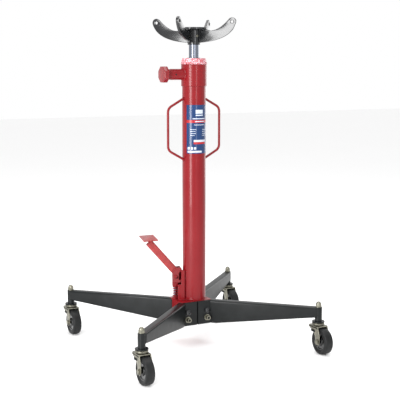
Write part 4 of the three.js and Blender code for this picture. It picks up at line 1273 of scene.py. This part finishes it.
class BuildReleaseValve(bpy.types.Operator):
    """Builds the release valve's body on the collar, and its faceted knob"""

    bl_idname = "jack.build_release_valve"
    bl_label = "Build release valve"

    def execute(self, context):
        collar = context.scene.jack_column.collar_radius
        body_low, body_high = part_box("release_valve_body")
        level = (body_low.z + body_high.z) / 2
        radius = (body_high.z - body_low.z) / 2
        end = COLUMN_AXIS.x - body_low.x
        facing_left = ON_COLUMN @ Matrix.Translation((0, 0, level)) @ Matrix.Rotation(math.pi, 4, "Z")
        bore = 8.5 * MM
        body = lathed(
            [
                (bore, collar * 0.9),
                (radius, collar * 0.9),
                (radius, end - 14 * MM, 0.4 * MM),
                (radius - 0.8 * MM, end - 13.4 * MM, 0.4 * MM),
                (radius - 0.8 * MM, end, 1.6 * MM),
                (bore, end),
            ],
            80,
            closed=True,
        )
        stub = moved(body, facing_left @ ALONG_X)
        enamelled("release_stub", stub, ["release_valve_body"])
        path = []
        for step in range(120):
            turn = 2 * math.pi * step / 120
            y, z = (radius + FIT) * math.cos(turn), (radius + FIT) * math.sin(turn)
            path.append((math.sqrt(max(collar**2 - y * y, 0)) + 0.8 * MM, y, z))
        root = moved(bead(path, 2.2 * MM, closed=True), facing_left)
        enamelled("release_stub_weld", root)
        # A small dark disc on the stub: painted shade standing for the small hole of a grub screw.
        grub = lathed([(0, 0), (2.9 * MM, 0), (2.9 * MM, 1.2 * MM, 0.3 * MM), (0, 1.2 * MM)], 32)
        front = facing_left @ Matrix.Translation((end - 26 * MM, radius - 1 * MM, 0)) @ ALONG_Y
        add_piece("release_stub_grub_hole_shade", moved(grub, front), painted_hole_shade(), "frame")

        outer = COLUMN_AXIS.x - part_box("release_knob")[0].x
        inner = outer - 18 * MM
        across = 27.4 * MM
        corners = [
            (across / math.cos(math.pi / 8) * math.cos(t), across / math.cos(math.pi / 8) * math.sin(t))
            for t in (math.pi / 8 + math.pi / 4 * step for step in range(8))
        ]
        grip = slab([eased(corners, 5 * MM, steps=5)], 18 * MM, 2.6 * MM, 4)
        turn_to_x = Matrix.Translation(((inner + outer) / 2, 0, 0)) @ Matrix.Rotation(math.pi / 2, 4, "Z")
        spindle = turned(
            [
                (0, COLUMN_RADIUS + 1 * MM),
                (8 * MM, COLUMN_RADIUS + 1 * MM),
                (8 * MM, inner + 1 * MM),
                (0, inner + 1 * MM),
            ],
            48,
        )
        dish = ring(9 * MM, 17 * MM, outer - 1 * MM, outer - 0.05 * MM, 0.5 * MM, 64)
        knob = joined(moved(grip, turn_to_x), moved(spindle, ALONG_X), moved(dish, ALONG_X))
        chipped = paint(
            "chipped_red_enamel", context.scene.jack_colours.enamel, 0.28, coat=0.5, grain=30, bump=0.06,
            wear_and_highlight=((0.33, 0.32, 0.32), 0.14, 45), shine=0.3,
        )
        add_piece(
            "release_grip", moved(knob, facing_left), chipped, "release_valve", ["release_knob"]
        )
        return {"FINISHED"}


class BuildPumpBracket(bpy.types.Operator):
    """Builds the pump's fulcrum bracket: a post, two low walls, their welds and the fulcrum pin"""

    bl_idname = "jack.build_pump_bracket"
    bl_label = "Build pump bracket"

    def execute(self, context):
        sizes = context.scene.jack_pump
        half, ear = sizes.half_width, sizes.ear
        foot = FIT
        parts = []
        for side, top in ((1, sizes.post_top), (-1, sizes.far_top)):
            inner, outer = sorted((side * (half - ear), side * half))
            reach = math.sqrt((COLUMN_RADIUS + FIT) ** 2 - min(abs(inner), abs(outer)) ** 2)
            post = [
                (reach, foot),
                (sizes.wall_reach, foot, 1 * MM),
                (sizes.wall_reach, sizes.wall_top, 3 * MM),
                (sizes.post_outer, sizes.wall_top, 3 * MM),
                (sizes.post_outer, top, 2.5 * MM),
                (reach, top, 1 * MM),
            ]
            plate = slab([eased(post)], ear, 1.1 * MM, 2)
            parts.append(moved(plate, Matrix.Translation((0, (inner + outer) / 2, 0))))
        web_end = PLUNGER_REACH - 11.3 * MM
        web = block(
            (COLUMN_RADIUS + 0.2 * MM, -half + ear / 2, foot), (web_end, half - ear / 2, sizes.slot_floor)
        )
        parts.append(web)
        bracket = moved(joined(*parts), ON_PUMP)
        enamelled("pump_post", bracket, ["fulcrum_bracket"])
        welds = []
        for side, top in ((1, sizes.post_top), (-1, sizes.far_top)):
            y = side * (half - 0.2 * MM)
            at_column = math.sqrt(COLUMN_RADIUS**2 - y * y) + 0.6 * MM
            welds.append(bead(straight((at_column, y, 3 * MM), (at_column, y, top - 2 * MM)), 1.5 * MM))
            welds.append(
                bead(straight((at_column, y, 0.8 * MM), (sizes.wall_reach - 2 * MM, y, 0.8 * MM)), 1.5 * MM)
            )
        enamelled("pump_post_welds", moved(joined(*welds), ON_PUMP))
        pin_half = half - FIT
        pin = turned(
            eased(
                [(0, -pin_half), (3 * MM, -pin_half, 0.6 * MM), (3 * MM, pin_half, 0.6 * MM), (0, pin_half)],
                closed=False,
            ), 40
        )
        place = ON_PUMP @ Matrix.Translation((sizes.fulcrum_reach, 0, sizes.fulcrum_height)) @ ALONG_Y
        add_piece("fulcrum_shaft", moved(pin, place), worn_enamel(), "frame", ["fulcrum_pin"])
        return {"FINISHED"}


class BuildPump(bpy.types.Operator):
    """Builds the pump's barrel, plunger, plunger head with its pin, and return spring"""

    bl_idname = "jack.build_pump"
    bl_label = "Build pump"

    def execute(self, context):
        sizes = context.scene.jack_pump
        on_plunger = ON_PUMP @ Matrix.Translation((PLUNGER_REACH, 0, 0))
        bore = 6 * MM
        barrel = lathed(
            [
                (bore, -60 * MM),
                (8 * MM, -60 * MM),
                (8 * MM, 0.3 * MM),
                (11 * MM, 0.3 * MM),
                (11 * MM, 3.4 * MM, 0.5 * MM),
                (9.8 * MM, 5 * MM, 0.5 * MM),
                (bore, 5 * MM, 0.4 * MM),
            ],
            72,
            closed=True,
        )
        enamelled("pump_sleeve", moved(barrel, on_plunger), ["pump_barrel"])
        low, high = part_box("pump_plunger")
        plunger = turned(
            [
                (0, low.z - BLOCK_TOP),
                (5.5 * MM, low.z - BLOCK_TOP),
                (5.5 * MM, high.z - BLOCK_TOP),
                (0, high.z - BLOCK_TOP),
            ], 64
        )
        add_piece(
            "plunger_rod", moved(plunger, on_plunger), chrome(), "plunger", ["pump_plunger"]
        )

        foot = foot_of("plunger_head") - BLOCK_TOP
        radius, pin = 9.75 * MM, sizes.pin_height
        outline = [(-radius, foot, 1.5 * MM), (radius, foot, 1.5 * MM), (radius, pin)]
        outline += arc(0, pin, radius, 0, 180, 24)[1:]
        bored = circle(0, pin, 4.3 * MM)
        sides = [
            moved(
                slab([eased(outline), bored], 5 * MM, 0.8 * MM), Matrix.Translation((0, y, 0))
            ) for y in (-7 * MM, 7 * MM)
        ]
        shoulder = turned(
            eased(
                [
                    (5.8 * MM, foot),
                    (9.4 * MM, foot, 1.2 * MM),
                    (9.4 * MM, foot + 12 * MM, 2 * MM),
                    (5.8 * MM, foot + 12 * MM),
                ]
            ),
            64,
            closed=True,
        )
        half = radius - 0.5 * MM
        core = slab([eased(box_outline(-half, foot + 14.2 * MM, half, pin))], 9.4 * MM)
        trimmed(core, (0, 0, pin - 5 * MM), (0, 0, 1))
        head = joined(*sides, shoulder, core)
        add_piece(
            "plunger_clevis", moved(head, on_plunger), enamel(), "plunger", ["plunger_head"]
        )

        pin_half = 17.8 * MM
        shaft = eased(
            [
                (0, -pin_half),
                (5.4 * MM, -pin_half, 1.2 * MM),
                (6 * MM, -pin_half + 2 * MM, 0.4 * MM),
                (4 * MM, -pin_half + 2 * MM),
                (4 * MM, pin_half - 2 * MM),
                (6 * MM, pin_half - 2 * MM, 0.4 * MM),
                (5.4 * MM, pin_half, 1.2 * MM),
                (0, pin_half),
            ],
            closed=False,
        )
        at_pin = on_plunger @ Matrix.Translation((0, 0, pin)) @ ALONG_Y
        add_piece(
            "plunger_cross_pin",
            moved(turned(shaft, 48), at_pin),
            enamel(),
            "plunger",
            ["plunger_pin"],
        )

        spring_low, spring_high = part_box("plunger_spring")
        wire = sizes.spring_wire
        spring_foot = spring_low.z - BLOCK_TOP + wire
        spring_top = spring_high.z - BLOCK_TOP - wire
        turns, steps = 5.5, 220
        route = []
        for step in range(steps + 1):
            t = step / steps
            turn = 2 * math.pi * turns * t
            settled = min(1, max(0, (t * turns - 0.6) / (turns - 1.2)))
            height = spring_foot + (spring_top - spring_foot) * (0.9 * settled + 0.1 * t)
            route.append((sizes.spring_radius * math.cos(turn), sizes.spring_radius * math.sin(turn), height))
        coil = moved(swept(route, wire, resolution=4), on_plunger)
        spring = enamelled("return_spring", coil, ["plunger_spring"])
        height = spring_high.z - spring_low.z
        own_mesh(spring)
        return {"FINISHED"}


class BuildPedal(bpy.types.Operator):
    """Builds the pedal's lever with its cheeks, and the tread plate"""

    bl_idname = "jack.build_pedal"
    bl_label = "Build pedal"

    def execute(self, context):
        sizes = context.scene.jack_pedal
        pump = context.scene.jack_pump
        start = Vector((PLUNGER_REACH, pump.pin_height + sizes.heel_rise))
        out = Vector((math.cos(sizes.lever_slope), math.sin(sizes.lever_slope)))
        up = Vector((-out.y, out.x))
        half = sizes.lever_height / 2

        def on_lever(along, above):
            place = start + out * along + up * above
            return (place.x, place.y)

        half_width = sizes.lever_width / 2
        section = eased(box_outline(-half_width, -half, half_width, half), 4.5 * MM, steps=6)
        shrink_x = 1 - 2 * sizes.wall / sizes.lever_width
        shrink_z = 1 - 2 * sizes.wall / sizes.lever_height
        inside = [(x * shrink_x, z * shrink_z) for x, z in section]
        tube = slab([section, inside], sizes.lever_length + 10 * MM, 0.3 * MM, 1)
        lay = (
            Matrix.Translation((start.x, 0, start.y))
            @ Matrix.Rotation(-sizes.lever_slope, 4, "Y")
            @ Matrix.Translation(((sizes.lever_length - 10 * MM) / 2, 0, 0))
            @ Matrix.Rotation(math.pi / 2, 4, "Z")
        )
        moved(tube, lay)
        low_end, high_end = Vector(on_lever(9 * MM, -half)), Vector(on_lever(-4 * MM, half))
        cut_way = (high_end - low_end).normalized()
        trimmed(tube, (low_end.x, 0, low_end.y), (cut_way.y, 0, -abs(cut_way.x)))
        lever = moved(tube, ON_PUMP)
        add_piece("pedal_tube", lever, pedal_enamel(), "pedal", ["pedal_lever"])

        fulcrum = Vector((pump.fulcrum_reach, pump.fulcrum_height))
        pin = Vector((PLUNGER_REACH, pump.pin_height))
        boss = 5.4 * MM
        slot_way = pin - fulcrum
        slot_turn = math.degrees(math.atan2(slot_way.y, slot_way.x))
        far, near, play = slot_way.length, slot_way.x, 5.1 * MM
        slot_points = arc(far, 0, play, -90, 90, 10) + arc(near, 0, play, 90, 270, 10)
        turn = math.radians(slot_turn)
        slot = [
            (
                fulcrum.x + x * math.cos(turn) - z * math.sin(turn),
                fulcrum.y + x * math.sin(turn) + z * math.cos(turn),
            )
            for x, z in slot_points
        ]
        cheeks = []
        for side in (-1, 1):
            lobe = arc(fulcrum.x + 8.5 * MM, fulcrum.y + 41.5 * MM, 7.5 * MM, 60, 180, 10)
            outline = [
                (*on_lever(10 * MM, -half + 1 * MM), 2 * MM), (*on_lever(10 * MM, half - 2 * MM), 3 * MM)
            ] + lobe
            if side > 0:
                outline += [
                    (fulcrum.x + 3 * MM, pin.y + 16 * MM, 1.5 * MM),
                    (pin.x - 12 * MM, pin.y + 14 * MM, 2 * MM),
                    (pin.x - 12 * MM, pin.y - 14 * MM, 3 * MM),
                    (fulcrum.x + 3 * MM, fulcrum.y + boss - 1 * MM, 1 * MM),
                ]
            outline += arc(fulcrum.x, fulcrum.y, boss, 60 if side > 0 else 120, 290, 14)
            outline += [
                (pin.x - 4 * MM, pin.y - 23 * MM, 2 * MM),
                (pin.x + 6.5 * MM, pin.y - 21.5 * MM, 6 * MM),
                (pin.x + 9 * MM, pin.y - 4 * MM, 4 * MM),
                (*on_lever(-2 * MM, -half), 4 * MM),
            ]
            bored = circle(fulcrum.x, fulcrum.y, 3.3 * MM)
            plate = slab([eased(outline), bored, slot], sizes.cheek, 0.9 * MM, 3)
            y = side * (sizes.lever_width / 2 + FIT + sizes.cheek / 2)
            cheeks.append(moved(plate, Matrix.Translation((0, y, 0))))
        add_piece("pedal_cheeks", moved(joined(*cheeks), ON_PUMP), worn_enamel(), "pedal")
        self.build_plate(sizes, on_lever, half)
        return {"FINISHED"}

    def build_plate(self, sizes, on_lever, half):
        edge_x, edge_z = on_lever(sizes.lever_length, half)
        half_length, half_width = sizes.plate_length / 2, sizes.plate_width / 2
        outline = []
        for side in (-1, 1):
            for step in range(13):
                x = side * (half_width - half_width * step / 6)
                wave = 0.7 * MM * noise.noise(Vector((x * 60, side * 3.1, 0)))
                outline.append((x, side * -half_length + side * wave + side * 0.9 * MM))
        corner_eased = eased(outline, 0.6 * MM)
        plate = slab([corner_eased], sizes.plate_thickness, 0.8 * MM, 2)
        moved(plate, Matrix.Rotation(-math.pi / 2, 4, "X"))
        place = (
            ON_PUMP
            @ Matrix.Translation((edge_x + 11 * MM, 0, edge_z + 4.5 * MM))
            @ Matrix.Rotation(math.radians(3), 4, "Z")
            @ Matrix.Rotation(math.radians(2.5), 4, "Y")
            @ Matrix.Translation((0, 0, sizes.plate_thickness / 2))
        )
        rib = slab(
            [
                eased(
                    [
                        (edge_x - 3 * MM, edge_z + 1.2 * MM),
                        (edge_x + 12 * MM, edge_z - 11 * MM, 2 * MM),
                        (edge_x + 14 * MM, edge_z + 5.5 * MM),
                        (edge_x - 5 * MM, edge_z + 5.5 * MM),
                    ]
                )
            ],
            14 * MM,
            0.6 * MM,
        )
        whole = joined(moved(plate, place), moved(rib, ON_PUMP))
        add_piece("pedal_tread", whole, pedal_enamel(), "pedal", ["pedal_plate"])


# ------------------------------------------------------------------ stage


CAMERA_PLACE = (-1.49335, -2.86312)
CAMERA_TILT, CAMERA_TURN = 81.738, -27.982  # degrees
SENSOR_WIDTH = 36  # millimetres
# Each softbox's name, place, height of the point on the jack's axis that it faces, width, height and watts.
SOFTBOXES = (
    ("tall_left", (-2.274, -1.288, 1.05), 0.95, 0.8, 1.9, 72),
    ("narrow_front", (-0.2, -3.0, 1.2), 0.85, 0.42, 1.6, 14),
    ("behind_right", (2.6, 1.2, 0.9), 0.55, 0.9, 1.4, 12),
    ("top", (0.1, 0.2, 3.4), 0.55, 2.6, 2.6, 60),
)


class JackStageSettings(bpy.types.PropertyGroup):
    floor_half: distance("Floor half size", "Of the pale floor", 14.0)
    lens: FloatProperty(name="Lens", description="Focal length on a 36 mm sensor", default=83.5, min=1.0)
    camera_height: distance("Camera height", "Above the floor", 0.9885)


class BuildStage(bpy.types.Operator):
    """Builds the floor, the studio lights and the camera"""

    bl_idname = "jack.build_stage"
    bl_label = "Build stage"

    def execute(self, context):
        settings = context.scene.jack_stage
        half = settings.floor_half
        mesh = bpy.data.meshes.new("floor")
        corners = [(*corner, 0) for corner in box_outline(-half, -half, half, half)]
        mesh.from_pydata(corners, [], [(0, 1, 2, 3)])
        floor = bpy.data.objects.new("floor", mesh)
        context.scene.collection.objects.link(floor)
        mesh.materials.append(paint("floor_paper", (0.97, 0.97, 0.97), 0.9, mottle=0.0, grain=1))

        world = bpy.data.worlds.new("studio")
        world.use_nodes = True
        world.node_tree.nodes["Background"].inputs["Color"].default_value = (1, 1, 1, 1)
        world.node_tree.nodes["Background"].inputs["Strength"].default_value = 1.0
        context.scene.world = world
        context.scene.view_settings.view_transform = "Standard"

        for softbox in SOFTBOXES:
            self.softbox(*softbox)

        camera = bpy.data.cameras.new("camera")
        camera.lens = settings.lens
        camera.sensor_width = SENSOR_WIDTH
        holder = bpy.data.objects.new("camera", camera)
        holder.location = (*CAMERA_PLACE, settings.camera_height)
        holder.rotation_euler = (math.radians(CAMERA_TILT), 0, math.radians(CAMERA_TURN))
        context.scene.collection.objects.link(holder)
        context.scene.camera = holder
        return {"FINISHED"}

    def softbox(self, name, place, aim, width, height, power):
        light = bpy.data.lights.new(name, "AREA")
        light.shape = "RECTANGLE"
        light.size = width
        light.size_y = height
        light.energy = power
        holder = bpy.data.objects.new(name, light)
        holder.location = place
        holder.rotation_euler = (Vector((0, 0, aim)) - Vector(place)).to_track_quat("-Z", "Y").to_euler()
        bpy.context.scene.collection.objects.link(holder)


OPERATORS = (
    BuildBlock,
    BuildLegs,
    BuildFlangeScrews,
    BuildCasters,
    BuildColumn,
    BuildRam,
    BuildLabel,
    BuildSaddle,
    BuildHandles,
    BuildReleaseValve,
    BuildPumpBracket,
    BuildPump,
    BuildPedal,
    BuildStage,
)
SETTINGS = {
    "jack_colours": JackColours,
    "jack_column": JackColumnSizes,
    "jack_label": JackLabelSizes,
    "jack_saddle": JackSaddleSizes,
    "jack_handles": JackHandleSizes,
    "jack_pump": JackPumpSizes,
    "jack_pedal": JackPedalSizes,
    "jack_legs": JackLegSizes,
    "jack_casters": JackCasterSizes,
    "jack_stage": JackStageSettings,
}


class JackPanel(bpy.types.Panel):
    """Lists the jack's operators, sizes and colours"""

    bl_idname = "VIEW3D_PT_transmission_jack"
    bl_label = "Transmission Jack"
    bl_space_type = "VIEW_3D"
    bl_region_type = "UI"
    bl_category = "Jack"

    def draw(self, context):
        for operator in OPERATORS:
            self.layout.operator(operator.bl_idname)
        for name, group in SETTINGS.items():
            box = self.layout.box()
            for setting in group.__annotations__:
                box.prop(getattr(context.scene, name), setting)


def register():
    for group in SETTINGS.values():
        bpy.utils.register_class(group)
    for name, group in SETTINGS.items():
        setattr(bpy.types.Scene, name, PointerProperty(type=group))
    for operator in OPERATORS:
        bpy.utils.register_class(operator)
    bpy.utils.register_class(JackPanel)


def unregister():
    bpy.utils.unregister_class(JackPanel)
    for operator in reversed(OPERATORS):
        bpy.utils.unregister_class(operator)
    for name in SETTINGS:
        delattr(bpy.types.Scene, name)
    for group in reversed(SETTINGS.values()):
        bpy.utils.unregister_class(group)


def main():
    register()
    for operator in OPERATORS:
        group, name = operator.bl_idname.split(".")
        getattr(getattr(bpy.ops, group), name)()


if __name__ == "__main__":
    main()
